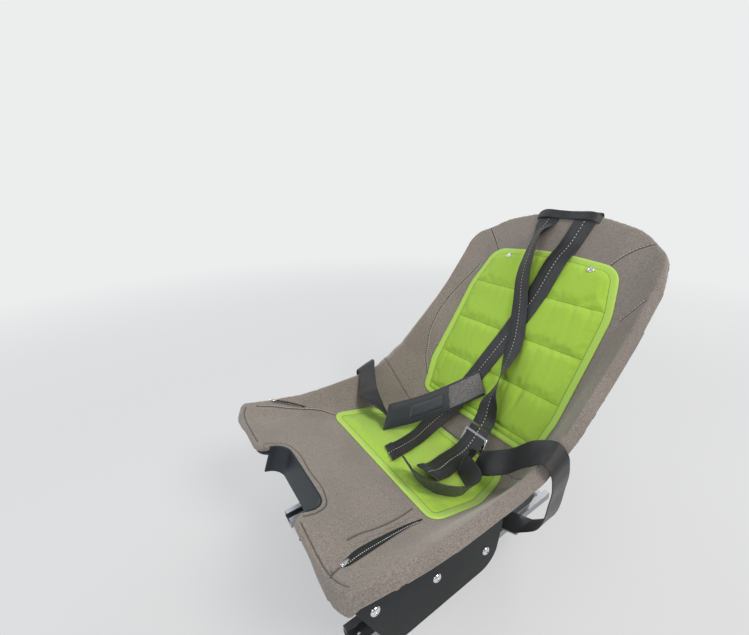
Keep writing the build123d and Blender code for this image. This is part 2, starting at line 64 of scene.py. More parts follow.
def padAt(along):  # point and normal of the pad; along is below zero on the seat and above it on the back
    if along <= -turnFoot:
        return hipPoint + panDir * -along, panUp
    if along >= turnFoot:
        return hipPoint + backDir * along, backUp
    share = (along + turnFoot) / (2 * turnFoot)
    lean = seatLines["panRise"] - 2 * halfTurn * share
    up = Vector((0, math.sin(lean), math.cos(lean)))
    offMiddle = abs(2 * share - 1) * halfTurn
    corner = seatLines["padCorner"]
    reach = seatLines["turnReach"]
    rise = math.tan(halfTurn)
    cornerEnds = halfTurn - math.atan(rise - corner * rise / (reach * math.cos(halfTurn)))
    if offMiddle < cornerEnds:
        centre = reach - corner / math.cos(halfTurn)
        foot = centre * math.cos(offMiddle) + math.sqrt(corner**2 - (centre * math.sin(offMiddle)) ** 2)
    else:
        foot = reach * math.cos(halfTurn) / math.cos(halfTurn - offMiddle)
    return turnAxis - up * foot, up


def onPad(along, across, up):
    point, normal = padAt(along)
    return point + sideDir * across + normal * up


def linked(name, data):
    made = bpy.data.objects.new(name, data)
    bpy.context.collection.objects.link(made)
    return made


def turnedTo(first, second, third):  # turns X, Y and Z into the three directions
    return Matrix((first, second, third)).transposed().to_4x4()


# Camera where the photographer stood, over the front port corner
cameraView = {
    "place": (0.4676, -0.4272, 0.7141),
    "turns": (56.6, -20.7, -0.9),  # yaw, pitch and roll
    "lens": 17.13,
    "sensor": 36.0,
    "clip": 0.01,
}
cameraData = bpy.data.cameras.new("camera")
cameraData.lens = cameraView["lens"]
cameraData.sensor_width = cameraView["sensor"]
cameraData.sensor_fit = "HORIZONTAL"
cameraData.clip_start = cameraView["clip"]
camera = linked("camera", cameraData)
yaw, pitch, roll = (math.radians(turn) for turn in cameraView["turns"])
forward = Vector((-math.sin(yaw) * math.cos(pitch), math.cos(yaw) * math.cos(pitch), math.sin(pitch)))
level = Vector((math.cos(yaw), math.sin(yaw), 0))
upright = level.cross(forward)
cameraRight = level * math.cos(roll) + upright * math.sin(roll)
cameraUp = upright * math.cos(roll) - level * math.sin(roll)
camera.matrix_world = Matrix.Translation(cameraView["place"]) @ turnedTo(cameraRight, cameraUp, -forward)
bpy.context.scene.camera = camera
bpy.context.scene.view_settings.view_transform = "Standard"


# Shader nodes
def newMaterial(name, color, roughness, sockets=()):
    material = bpy.data.materials.new(name)
    material.use_nodes = True
    material.diffuse_color = (*color, 1)
    shader = material.node_tree.nodes["Principled BSDF"]
    shader.inputs["Base Color"].default_value = (*color, 1)
    shader.inputs["Roughness"].default_value = roughness
    for socket, value in dict(sockets).items():
        shader.inputs[socket].default_value = value
    return material


class NodeBench:  # short calls that add shader nodes to one tree and join them
    def __init__(self, tree, shader="Principled BSDF"):
        self.nodes = tree.nodes
        self.links = tree.links
        self.shader = tree.nodes[shader]

    def add(self, kind, inputs=(), **settings):
        node = self.nodes.new(kind)
        for setting, value in settings.items():
            setattr(node, setting, value)
        for socket, value in dict(inputs).items():
            if isinstance(value, bpy.types.NodeSocket):
                self.links.new(value, node.inputs[socket])
            else:
                node.inputs[socket].default_value = value
        return node

    def calc(self, operation, first, second=0.0):
        return self.add("ShaderNodeMath", {0: first, 1: second}, operation=operation).outputs[0]

    def plus(self, first, second):
        return self.calc("ADD", first, second)

    def times(self, first, second):
        return self.calc("MULTIPLY", first, second)

    def away(self, value, middle=0.0):
        return self.calc("ABSOLUTE", self.calc("SUBTRACT", value, middle))

    def waves(self, value, pitch):
        return self.calc("SINE", self.times(value, 2 * math.pi / pitch))

    def spread(self, value, low, high, toLow=0.0, toHigh=1.0, smooth=False):
        inputs = {"Value": value, "From Min": low, "From Max": high, "To Min": toLow, "To Max": toHigh}
        kind = "SMOOTHSTEP" if smooth else "LINEAR"
        return self.add("ShaderNodeMapRange", inputs, interpolation_type=kind).outputs[0]

    def noise(self, vector, scale, detail=2.0, roughness=0.5):
        inputs = {"Vector": vector, "Scale": scale, "Detail": detail, "Roughness": roughness}
        return self.add("ShaderNodeTexNoise", inputs).outputs[0]

    def mixColor(self, factor, first, second):
        first, second = ((*color, 1) if isinstance(color, tuple) else color for color in (first, second))
        return self.add("ShaderNodeMix", {0: factor, 6: first, 7: second}, data_type="RGBA").outputs[2]

    def objectPlace(self):
        return self.add("ShaderNodeTexCoord").outputs["Object"]

    def attribute(self, name):
        return self.add("ShaderNodeAttribute", attribute_name=name).outputs["Fac"]

    def flatPlace(self, uvMap):  # across and along a piece of cloth
        flat = self.add("ShaderNodeUVMap", uv_map=uvMap).outputs[0]
        return self.add("ShaderNodeSeparateXYZ", {0: flat}).outputs

    def stretched(self, vector, scale):
        return self.add("ShaderNodeMapping", {"Vector": vector, "Scale": scale}).outputs[0]

    def bump(self, height, distance, strength=1.0, normal=None):
        node = self.add("ShaderNodeBump", {"Height": height, "Distance": distance, "Strength": strength})
        if normal:
            self.links.new(normal, node.inputs["Normal"])
        return node.outputs[0]

    def use(self, socket, value):
        self.links.new(value, self.shader.inputs[socket])

    def show(self, factor, other, output):  # mixes the shader with another one and sends both to the output
        inputs = {0: factor, 1: self.shader.outputs[0], 2: other.outputs[0]}
        mixed = self.add("ShaderNodeMixShader", inputs).outputs[0]
        self.links.new(mixed, self.nodes[output].inputs["Surface"])


# Plain studio: pale floor that fades to the backdrop, soft lamps and an even grey world
studio = {
    "floorSize": 40.0,
    "backdrop": (0.84, 0.845, 0.85, 1),
    "fade": (0.9, 3.2),
    "floorColor": (0.60, 0.60, 0.60),
    "worldColor": (0.62, 0.64, 0.67, 1),
    "worldStrength": 0.60,
    "lamps": (  # name, place, size, power and colour
        ("key", (1.7, 0.5, 2.3), 1.1, 40.0, (1.0, 0.965, 0.91)),
        ("front", (0.3, -2.4, 1.7), 1.8, 25.0, (0.96, 0.98, 1.0)),
        ("far", (-2.2, -0.2, 1.9), 1.5, 16.0, (0.93, 0.96, 1.0)),
        ("rear", (-0.4, 2.4, 1.6), 1.5, 16.0, (1.0, 1.0, 1.0)),
    ),
    "aim": Vector((0, 0, 0.30)),
}
floorMaterial = newMaterial("paleFloor", studio["floorColor"], 0.9)
ground = NodeBench(floorMaterial.node_tree)
rays = ground.add("ShaderNodeLightPath").outputs
seen = ground.calc("MAXIMUM", rays["Is Camera Ray"], rays["Is Glossy Ray"])
far = ground.add("ShaderNodeVectorMath", {0: ground.objectPlace()}, operation="LENGTH").outputs["Value"]
fade = ground.spread(far, *studio["fade"], 0.5, 1.0, True)
glow = ground.add("ShaderNodeEmission", {"Color": studio["backdrop"]})
ground.show(ground.times(seen, fade), glow, "Material Output")

floorMesh = bpy.data.meshes.new("floor")
bm = bmesh.new()
bmesh.ops.create_grid(bm, x_segments=2, y_segments=2, size=studio["floorSize"] / 2)
bm.to_mesh(floorMesh)
bm.free()
floorMesh.materials.append(floorMaterial)
floor = linked("floor", floorMesh)

world = bpy.data.worlds.new("studio")
bpy.context.scene.world = world
world.use_nodes = True
sky = NodeBench(world.node_tree, "Background")
sky.shader.inputs["Color"].default_value = studio["worldColor"]
sky.shader.inputs["Strength"].default_value = studio["worldStrength"]
seen = sky.add("ShaderNodeLightPath").outputs["Is Camera Ray"]
sky.show(seen, sky.add("ShaderNodeBackground", {"Color": studio["backdrop"]}), "World Output")

for lampName, place, size, power, color in studio["lamps"]:
    lampData = bpy.data.lights.new(lampName, "AREA")
    lampData.shape = "DISK"
    lampData.size = size
    lampData.energy = power
    lampData.color = color
    lamp = linked(lampName, lampData)
    lamp.location = place
    lamp.rotation_euler = (studio["aim"] - Vector(place)).to_track_quat("-Z", "Y").to_euler()
print("studio ready")


# Sewn lines of the lime pads: the binding's width, and each seam's place along the back with half its width
binding = 0.0145
quiltSeams = ((0.087, 0.152), (0.192, 0.164), (0.296, 0.165), (0.401, 0.163))


# Materials
def coverClothMaterial():  # heathered, uneven in broad patches, with painted shade in the groove along each seam and a dark line in the seam itself
    sockets = {"Sheen Weight": 0.5, "Sheen Roughness": 0.45, "Sheen Tint": (0.95, 0.90, 0.85, 1)}
    sockets["Specular IOR Level"] = 0.18
    material = newMaterial("coverCloth", (0.215, 0.195, 0.177), 0.95, sockets)
    bench = NodeBench(material.node_tree)
    place = bench.objectPlace()
    fleck = bench.noise(place, 720.0, 2.0, 0.6)
    thread = bench.noise(bench.stretched(place, (1.0, 0.35, 0.35)), 900.0)
    broad = bench.noise(place, 9.0, 3.0, 0.55)
    heather = bench.mixColor(bench.spread(fleck, 0.28, 0.74), (0.128, 0.112, 0.102), (0.318, 0.277, 0.243))
    heather = bench.mixColor(bench.spread(thread, 0.42, 0.60, 0.0, 0.5), heather, (0.39, 0.342, 0.302))
    uneven = bench.mixColor(bench.spread(broad, 0.40, 0.68, 0.0, 0.30, True), heather, (0.165, 0.150, 0.140))
    side = bench.away(bench.attribute("seamSide"))
    # painted shade: a soft dark band up to 3 mm either side of each seam and zip, where the sunk groove lies
    # in shade; the next mix is the seam's own narrow dark line
    sewn = bench.mixColor(bench.spread(side, 0.0005, 0.0030, 0.45, 0.0, True), uneven, (0.05, 0.048, 0.046))
    sewn = bench.mixColor(bench.spread(side, 0.0003, 0.0009, 0.8, 0.0), sewn, (0.030, 0.029, 0.028))
    bench.use("Base Color", sewn)
    pile = bench.plus(fleck, bench.times(thread, 0.6))
    bench.use("Normal", bench.bump(pile, 0.0004, 0.4, bench.bump(broad, 0.003, 0.25)))
    return material


def limeClothMaterial():  # paler outside the binding's seam, dark along each seam
    sockets = {"Sheen Weight": 0.3, "Sheen Roughness": 0.5, "Specular IOR Level": 0.2}
    material = newMaterial("limeCloth", (0.36, 0.56, 0.085), 0.88, sockets)
    seamColor = (0.13, 0.24, 0.02)
    bench = NodeBench(material.node_tree)
    place = bench.objectPlace()
    grain = bench.noise(place, 800.0, 2.0, 0.6)
    broad = bench.noise(place, 14.0)
    dyed = bench.mixColor(bench.spread(grain, 0.32, 0.68), (0.335, 0.540, 0.046), (0.435, 0.660, 0.085))
    dyed = bench.mixColor(bench.spread(broad, 0.42, 0.66, 0.0, 0.25, True), dyed, (0.34, 0.545, 0.065))
    edge = bench.attribute("edge")
    rim = bench.spread(edge, binding - 0.0009, binding + 0.0001, 0.6, 0.0)
    bound = bench.mixColor(rim, dyed, (0.50, 0.72, 0.15))
    sewnLine = bench.away(edge, binding + 0.0003)
    sewn = bench.mixColor(bench.spread(sewnLine, 0.0003, 0.0011, 0.75, 0.0), bound, seamColor)
    across, along = bench.flatPlace("sewn")[:2]
    inside = bench.spread(edge, binding, binding + 0.001)
    for seam, half in quiltSeams:
        mark = bench.times(bench.spread(bench.away(along, seam), 0.0003, 0.0012, 0.8, 0.0), inside)
        sewn = bench.mixColor(mark, sewn, seamColor)
    bench.use("Base Color", sewn)
    bench.use("Normal", bench.bump(grain, 0.0004, 0.3))
    return material


def webbingMaterial():  # twill with two ribs and a pale dotted line along its middle
    sockets = {"Sheen Weight": 0.17, "Sheen Roughness": 0.30, "Specular IOR Level": 0.55}
    material = newMaterial("webbing", (0.030, 0.030, 0.033), 0.5, sockets)
    bench = NodeBench(material.node_tree)
    across, along = bench.flatPlace("webbing")[:2]
    side = bench.away(across)
    twill = bench.waves(bench.plus(side, bench.times(along, 0.8)), 0.0019)
    weave = bench.plus(bench.times(twill, 0.6), bench.times(bench.waves(side, 0.0011), 0.4))
    fuzz = bench.noise(bench.objectPlace(), 420.0, 2.0, 0.6)
    yarn = bench.mixColor(bench.spread(weave, -0.8, 0.9), (0.007, 0.007, 0.008), (0.030, 0.030, 0.033))
    yarn = bench.mixColor(bench.spread(fuzz, 0.45, 0.75, 0.0, 0.35), yarn, (0.045, 0.045, 0.048))
    rib = bench.spread(bench.away(side, 0.0098), 0.0002, 0.0011, 0.5, 0.0)
    yarn = bench.mixColor(rib, yarn, (0.060, 0.060, 0.064))
    dash = bench.spread(bench.waves(along, 0.0078), 0.2, 0.5)
    dotted = bench.times(dash, bench.spread(side, 0.0006, 0.0010, 1.0, 0.0))
    bench.use("Base Color", bench.mixColor(dotted, yarn, (0.66, 0.66, 0.62)))
    bench.use("Normal", bench.bump(weave, 0.00025, 0.6))
    bench.use("Roughness", bench.spread(fuzz, 0.3, 0.7, 0.34, 0.48))
    return material


def padClothMaterial():  # smooth nylon on the first part, looped plush on the rest
    sockets = {"Sheen Weight": 0.4, "Sheen Roughness": 0.4}
    material = newMaterial("padCloth", (0.022, 0.025, 0.030), 0.8, sockets)
    bench = NodeBench(material.node_tree)
    place = bench.objectPlace()
    across, along = bench.flatPlace("webbing")[:2]
    wobble = bench.times(bench.noise(place, 60.0), 0.006)
    plush = bench.spread(bench.plus(along, wobble), 0.158, 0.164, 0.0, 1.0, True)
    plush = bench.times(plush, bench.spread(bench.away(across), 0.0246, 0.0252, 1.0, 0.0))
    loops = bench.noise(place, 520.0, 2.0, 0.55)
    fine = bench.noise(place, 900.0)
    nylon = bench.mixColor(bench.spread(fine, 0.35, 0.65), (0.014, 0.018, 0.023), (0.027, 0.033, 0.040))
    pile = bench.mixColor(bench.spread(loops, 0.36, 0.64), (0.075, 0.073, 0.073), (0.235, 0.23, 0.225))
    bench.use("Base Color", bench.mixColor(plush, nylon, pile))
    height = bench.plus(bench.times(loops, plush), bench.times(fine, 0.12))
    bench.use("Normal", bench.bump(height, 0.0010, 0.6))
    bench.use("Roughness", bench.spread(plush, 0.0, 1.0, 0.55, 0.95))
    return material


def grainedMaterial(name, color, roughness, grain, uneven, bump=0.0, sockets=(), stretch=(1, 1, 1)):
    material = newMaterial(name, color, roughness, sockets)
    bench = NodeBench(material.node_tree)
    place = bench.objectPlace()
    fine = bench.noise(bench.stretched(place, stretch), grain, 3.0, 0.6)
    broad = bench.noise(place, 13.0, 3.0, 0.6)
    darker, paler = (tuple(min(level * share, 1) for level in color) for share in (1 - uneven, 1 + uneven))
    tone = bench.mixColor(bench.spread(fine, 0.3, 0.7), darker, paler)
    bench.use("Base Color", bench.mixColor(bench.spread(broad, 0.45, 0.72, 0.0, 0.5, True), tone, paler))
    smear = bench.plus(bench.times(fine, 0.6), bench.times(broad, 0.4))
    bench.use("Roughness", bench.spread(smear, 0.25, 0.75, roughness * 0.8, roughness * 1.2))
    if bump:
        bench.use("Normal", bench.bump(fine, bump, 0.4))
    return material


metal = {"Metallic": 1.0}
halfGloss = {"Specular IOR Level": 0.35}
grainedLooks = {  # colour, roughness, scale of the grain, how uneven, its bump, other sockets and stretch
    "padNylon": ((0.030, 0.038, 0.046), 0.45, 900.0, 0.25, 0.0003),
    "shell": ((0.021, 0.027, 0.034), 0.42, 240.0, 0.12, 0.0001, halfGloss),
    "skirt": ((0.009, 0.010, 0.012), 0.52, 500.0, 0.2, 0.0002, {"Specular IOR Level": 0.25}),
    "chrome": ((0.78, 0.79, 0.80), 0.16, 300.0, 0.04, 0.0, metal),
    "blackMetal": ((0.018, 0.019, 0.021), 0.52, 700.0, 0.2, 0.0003, halfGloss),
    "studMetal": ((0.74, 0.75, 0.76), 0.34, 300.0, 0.04, 0.0, metal),
    "railMetal": ((0.40, 0.41, 0.43), 0.42, 500.0, 0.12, 0.0, metal, (1.0, 0.02, 1.0)),
    "steel": ((0.42, 0.43, 0.44), 0.38, 600.0, 0.12, 0.0, metal, (1.0, 0.05, 1.0)),
    "knob": ((0.018, 0.018, 0.019), 0.6, 800.0, 0.2, 0.0004),
    "zipTape": ((0.013, 0.013, 0.015), 0.8, 1200.0, 0.4, 0.0003),
    "paleThread": ((0.66, 0.66, 0.64), 0.7, 1500.0, 0.1),
    "coverThread": ((0.60, 0.56, 0.50), 0.8, 1500.0, 0.15),
    "limeThread": ((0.23, 0.40, 0.04), 0.8, 1500.0, 0.15),
    "darkThread": ((0.035, 0.037, 0.04), 0.7, 1500.0, 0.2),
}
materials = {
    "coverCloth": coverClothMaterial(),
    "limeCloth": limeClothMaterial(),
    "webbing": webbingMaterial(),
    "padCloth": padClothMaterial(),
}
for lookName, look in grainedLooks.items():
    materials[lookName] = grainedMaterial(lookName, *look)
print("materials ready")


# Helpers for pieces
def finishPiece(piece, material, body="seat", replaced=()):
    piece.data.materials.clear()
    piece.data.materials.append(materials[material])
    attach(piece, body)
    if replaced:
        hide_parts(*replaced)
    return piece


def addModifier(piece, kind, **settings):
    modifier = piece.modifiers.new(kind.lower(), kind)
    for setting, value in settings.items():
        setattr(modifier, setting, value)
    return modifier


def easeEdges(piece, width, degrees):  # rounds every edge that is sharper than the angle
    sharp = {"limit_method": "ANGLE", "angle_limit": math.radians(degrees)}
    addModifier(piece, "BEVEL", width=width, segments=2, **sharp)


def applyModifiers(piece):
    depsgraph = bpy.context.evaluated_depsgraph_get()
    made = bpy.data.meshes.new_from_object(piece.evaluated_get(depsgraph))
    old = piece.data
    piece.modifiers.clear()
    piece.data = made
    bpy.data.meshes.remove(old)


def shadeSmooth(mesh):
    mesh.polygons.foreach_set("use_smooth", [True] * len(mesh.polygons))


def meshPiece(name, bm):  # smooth piece of what the bmesh holds
    mesh = bpy.data.meshes.new(name)
    bm.to_mesh(mesh)
    bm.free()
    shadeSmooth(mesh)
    return linked(name, mesh)


def copyOfNode(name, *nodeNames):
    bm = bmesh.new()
    for nodeName in nodeNames:
        bm.from_mesh(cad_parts[nodeName].data)
    bmesh.ops.remove_doubles(bm, verts=bm.verts, dist=0.00002)
    return meshPiece(name, bm)


def flatGrid(columns, rows, uvName, *marks):  # square grid, its UV layer and the named layers of its vertices
    bm = bmesh.new()
    bmesh.ops.create_grid(bm, x_segments=columns, y_segments=rows, size=1)
    return bm, bm.loops.layers.uv.new(uvName), *(bm.verts.layers.float.new(mark) for mark in marks)


def setFlat(vertex, uvLayer, across, along):
    for loop in vertex.link_loops:
        loop[uvLayer].uv = (across, along)


def closeBelow(bm, low):  # walls, and an underside at the low places; gives the underside's vertices
    under = list(bm.verts)
    bmesh.ops.extrude_face_region(bm, geom=bm.faces[:], use_keep_orig=True)
    for vertex, place in zip(under, low):
        vertex.co = place
    bmesh.ops.recalc_face_normals(bm, faces=bm.faces)
    return under


def beforeAndAfter(line, index):
    return line[max(index - 1, 0)], line[min(index + 1, len(line) - 1)]


# Covers of the thighs and the back
coverLook = {
    "cell": 0.0032,
    "swell": 0.0011,
    "relax": 6,
    "iron": {"rounds": 12, "out": 0.5, "back": -0.53},
    "front": {
        "along": seatLines["panLength"], "across": 0.233, "corner": 0.017,
        "start": 0.110, "run": 0.075, "deep": 0.017, "rim": 0.010, "rimSoft": 0.005,
        "lipStart": 0.189, "lipSlope": 0.27, "lipDrop": 0.002, "lipSoft": 0.006,
    },
    "seam": {"deep": 0.0013, "wide": 0.0034, "reach": 0.02, "fade": 6, "far": 0.05, "facing": 0.3},
    "zip": {"depth": 1.7, "wide": 0.0074},
    "welt": {"high": 0.0007, "beside": 0.004, "wide": 0.003},
    "stitch": {"pitch": 0.0060, "length": 0.0040, "radius": 0.0008},
}


def relax(piece, factors):
    bm = bmesh.new()
    bm.from_mesh(piece.data)
    everyWay = {"use_axis_x": True, "use_axis_y": True, "use_axis_z": True}
    for factor in factors:
        bmesh.ops.smooth_vert(bm, verts=bm.verts, factor=factor, **everyWay)
    bm.to_mesh(piece.data)
    bm.free()


def hangFront(cover):  # draws the front face down at the thigh tips, over the end of the side lips
    look = coverLook["front"]
    cornerAcross = look["across"] - look["corner"]
    cornerAlong = look["along"] - look["corner"]
    for vertex in cover.data.vertices:
        place = vertex.co - hipPoint
        across, along, up = abs(place.x), place.dot(panDir), place.dot(panUp)
        if along < cornerAlong or across < look["start"]:
            continue
        inside = look["along"] - along
        if across > cornerAcross:
            inside = look["corner"] - math.hypot(across - cornerAcross, along - cornerAlong)
        near = min(max((look["rim"] - inside) / look["rimSoft"], 0), 1)
        grown = min((across - look["start"]) / look["run"], 1)
        lip = max(across - look["lipStart"], 0) * look["lipSlope"] - look["lipDrop"]
        low = min(max((lip - up) / look["lipSoft"], 0), 1)
        drop = look["deep"] * grown**2 * (3 - 2 * grown)
        vertex.co -= panUp * min(max(drop + up, 0), look["deep"]) * near * low


coverPieces = []
iron = coverLook["iron"]  # evens out the rim's small bumps and keeps the cover's size
smoothing = [0.5] * coverLook["relax"] + [iron["out"], iron["back"]] * iron["rounds"]
for coverNode in ("pan_cover", "back_cover"):
    cover = copyOfNode(coverNode.replace("_", "") + "Cloth", coverNode)
    # The swell keeps the thin lips whole in the remesh
    addModifier(cover, "DISPLACE", strength=coverLook["swell"], mid_level=0)
    scale = max(cover.dimensions) / (2**8 * coverLook["cell"])
    strays = {"use_remove_disconnected": True, "threshold": 0.05}
    addModifier(cover, "REMESH", mode="SHARP", octree_depth=8, scale=scale, **strays)
    applyModifiers(cover)
    if coverNode == "pan_cover":
        hangFront(cover)
    relax(cover, smoothing)
    shadeSmooth(cover.data)
    coverPieces.append(cover)
    print("cover", coverNode, len(cover.data.vertices), "vertices")


# Where a place over the pad meets the finished pieces
overPad = 0.12


class Surface:
    def __init__(self, pieces):
        bm = bmesh.new()
        for piece in pieces:
            bm.from_mesh(piece.data)
        self.tree = BVHTree.FromBMesh(bm)
        bm.free()

    def meets(self, along, across):  # point and normal straight under a place over the pad, or two of None
        point, normal = padAt(along)
        return self.tree.ray_cast(point + sideDir * across + normal * overPad, -normal)[:2]

    def under(self, along, across):
        place, facing = self.meets(along, across)
        return (onPad(along, across, 0), padAt(along)[1]) if place is None else (place, facing)

    def beside(self, place, facing, start=0.006, reach=0.014):  # the same under a point close above
        hit, normal = self.tree.ray_cast(place + facing * start, -facing, reach)[:2]
        return (place, facing) if hit is None else (hit, normal)


coverSurface = Surface(coverPieces)
plainSurface = coverSurface


def smoothLine(points, spacing):  # smooth line through the given points, in steps of about the spacing
    gaps = [max((end - start).length, 1e-6) for start, end in zip(points, points[1:])]
    straight = [(end - start) / gap for start, end, gap in zip(points, points[1:], gaps)]
    slopes = [straight[0]]
    for index in range(1, len(gaps)):
        before, after = gaps[index - 1], gaps[index]
        slopes.append((straight[index - 1] * after + straight[index] * before) / (before + after))
    slopes.append(straight[-1])
    line = []
    for index, gap in enumerate(gaps):
        steps = max(1, round(gap / spacing))
        for step in range(steps):
            t = step / steps
            line.append(
                points[index] * (2 * t**3 - 3 * t**2 + 1)
                + slopes[index] * (gap * (t**3 - 2 * t**2 + t))
                + points[index + 1] * (3 * t**2 - 2 * t**3)
                + slopes[index + 1] * (gap * (t**3 - t**2))
            )
    line.append(points[-1].copy())
    return line


def seatLine(table, spacing=0.002, surface=None):  # table of across and along in mm, laid on the seat
    flat = smoothLine([Vector(row[:2]) / 1000 for row in table], spacing)
    surface = surface or coverSurface
    met = [surface.meets(along, across) for across, along in flat]
    return [(place, facing) for place, facing in met if place is not None]


# Seams of the covers: across and along in mm, and how far beside the seam its stitches run
coverSeams = (
    (((129, 494), (137, 509), (151, 528), (167, 543), (185, 553), (204, 559)), (-2.6,)),
    (((195, 389), (206, 406), (217, 423), (227, 440)), (-2.2,)),
    (((-141, 488), (-147, 496), (-174, 526), (-198, 551)), (2.6,)),
    (
        (
            (-180, 452), (-186, 430), (-204, 368), (-212, 301), (-211, 258), (-206, 218), (-197, 179),
            (-185, 131), (-171, 96),
        ),
        (-2.6, 2.6),
    ),
    (((131, -268), (139, -300), (145, -336), (147, -365), (147, -387), (151, -415)), ()),
    (((-168, -255), (-184, -284), (-194, -326), (-201, -366), (-210, -398), (-216, -432)), (2.4,)),
    (((184, -441), (191, -457), (197, -465)), ()),
    (((98, -460), (140, -461), (180, -461), (204, -458), (219, -450)), ()),
    (((-98, -460), (-140, -461), (-180, -461), (-204, -458), (-219, -450)), ()),
    (
        (
            (-92, -456), (-92, -433), (-82.3, -409.7), (-59, -400), (0, -400), (59, -400), (82.3, -409.7),
            (92, -433), (92, -456),
        ),
        (),
    ),
)
# Zips in the thighs: across and along in mm, and half the opening's width
zipTables = {
    "zipLeft": (
        (157, -272, 1.2), (160, -312, 2.8), (166, -352, 4.8), (171, -382, 6.4), (177, -412, 6.6),
        (185, -439, 3.6),
    ),
    "zipRight": ((-199, -322, 1.0), (-207, -345, 2.2), (-216, -371, 3.0), (-225, -396, 2.6)),
}


def sewSeams(pieces, lines):  # draws the surface in along the lines and keeps each vertex's distance
    look = coverLook["seam"]
    weltLook = coverLook["welt"]
    tree = KDTree(sum(len(line) for line, depth, wide in lines))
    marks = []
    for line, depth, wide in lines:
        last = len(line) - 1
        for index, (place, facing) in enumerate(line):
            tree.insert(place, len(marks))
            before, after = beforeAndAfter(line, index)
            fade = min(1, index / look["fade"], (last - index) / look["fade"]) if wide > look["wide"] else 1
            ahead = (after[0] - before[0]).normalized()
            marks.append((place, facing, ahead, index in (0, last), depth * fade, wide))
    tree.balance()
    for piece in pieces:
        sides = []
        moved = []
        for start, normal in [(vertex.co.copy(), vertex.normal.copy()) for vertex in piece.data.vertices]:
            nearest, index, distance = tree.find(start)
            side = look["far"]
            if distance < look["reach"]:
                place, facing, ahead, isEnd, depth, wide = marks[index]
                if not isEnd and facing.dot(normal) > look["facing"]:
                    side = (start - place).dot(ahead.cross(facing))
                    fold = math.exp(-((distance / wide) ** 2))
                    offWelt = (side - weltLook["beside"]) / weltLook["wide"]
                    welt = math.exp(-(offWelt**2)) if side > 0 else 0
                    start = start + normal * (weltLook["high"] * welt - look["deep"] * depth * fold)
            sides.append(side)
            moved.extend(start)
        piece.data.vertices.foreach_set("co", moved)
        seamSide = piece.data.attributes.new("seamSide", "FLOAT", "POINT")
        seamSide.data.foreach_set("value", sides)
        piece.data.update()


def stitchPiece(name, rows, look, material, surface=None):  # thread in short stitches on the cloth
    bm = bmesh.new()
    bmesh.ops.create_uvsphere(bm, u_segments=6, v_segments=4, radius=1)
    bmesh.ops.rotate(bm, verts=bm.verts, matrix=Matrix.Rotation(math.pi / 2, 3, "Y"))
    bmesh.ops.scale(bm, verts=bm.verts, vec=(look["length"] / 2, look["radius"], look["radius"]))
    stitch = bpy.data.meshes.new(name + "One")
    bm.to_mesh(stitch)
    bm.clear()
    for line, sideways in rows:
        every = max(1, round(look["pitch"] / (line[1][0] - line[0][0]).length))
        for index in range(every, len(line) - every, every):
            place, facing = line[index]
            ahead = (line[index + 1][0] - line[index - 1][0]).normalized()
            beside = ahead.cross(facing).normalized()
            place = place + beside * sideways
            if surface:
                place, facing = surface.beside(place, facing)
                ahead = (ahead - facing * ahead.dot(facing)).normalized()
                beside = ahead.cross(facing).normalized()
            place = place + facing * look["radius"] * 0.5
            seat = Matrix.Translation(place) @ turnedTo(ahead, beside * -1, beside.cross(ahead))
            stitch.transform(seat)
            bm.from_mesh(stitch, face_normals=False, vertex_normals=False)
            stitch.transform(seat.inverted())
    bpy.data.meshes.remove(stitch)
    bmesh.ops.recalc_face_normals(bm, faces=bm.faces)
    return finishPiece(meshPiece(name, bm), material)


seamLines = [(seatLine(table), 1.0, coverLook["seam"]["wide"]) for table, offsets in coverSeams]
slit = coverLook["zip"]
seamLines += [(seatLine(table), slit["depth"], slit["wide"]) for table in zipTables.values()]
sewSeams(coverPieces, seamLines)
for cover, coverNode in zip(coverPieces, ("pan_cover", "back_cover")):
    finishPiece(cover, "coverCloth", replaced=(coverNode,))
coverSurface = Surface(coverPieces)
coverRows = [(seatLine(table, 0.001), offset / 1000) for table, offsets in coverSeams for offset in offsets]
stitchPiece("coverStitches", coverRows, coverLook["stitch"], "coverThread", coverSurface)
print("covers sewn")


def roundedOutline(half, steps=12):  # closed outline from one half's corners, and the middle of each corner
    corners = [*half, *((-x, along, radius) for x, along, radius in reversed(half) if x > 0)]
    points = []
    middles = []
    for index, (x, along, radius) in enumerate(corners):
        here = Vector((x, along))
        back = (Vector(corners[index - 1][:2]) - here).normalized()
        ahead = (Vector(corners[(index + 1) % len(corners)][:2]) - here).normalized()
        halfAngle = back.angle(ahead) / 2
        centre = here + (back + ahead).normalized() * radius / math.sin(halfAngle)
        start = here + back * radius / math.tan(halfAngle)
        middles.append(len(points) + steps // 2)
        for step in range(steps + 1):
            turn = (math.pi - 2 * halfAngle) * step / steps
            points.append(centre + Matrix.Rotation(turn, 2) @ (start - centre))
    return points, middles


def resampled(points, count):  # evenly spaced points along a line
    lengths = [0.0]
    for start, end in zip(points, points[1:]):
        lengths.append(lengths[-1] + (end - start).length)
    made = []
    index = 0
    for step in range(count + 1):
        target = lengths[-1] * step / count
        while index < len(points) - 2 and lengths[index + 1] < target:
            index += 1
        span = max(lengths[index + 1] - lengths[index], 1e-9)
        made.append(points[index].lerp(points[index + 1], (target - lengths[index]) / span))
    return made


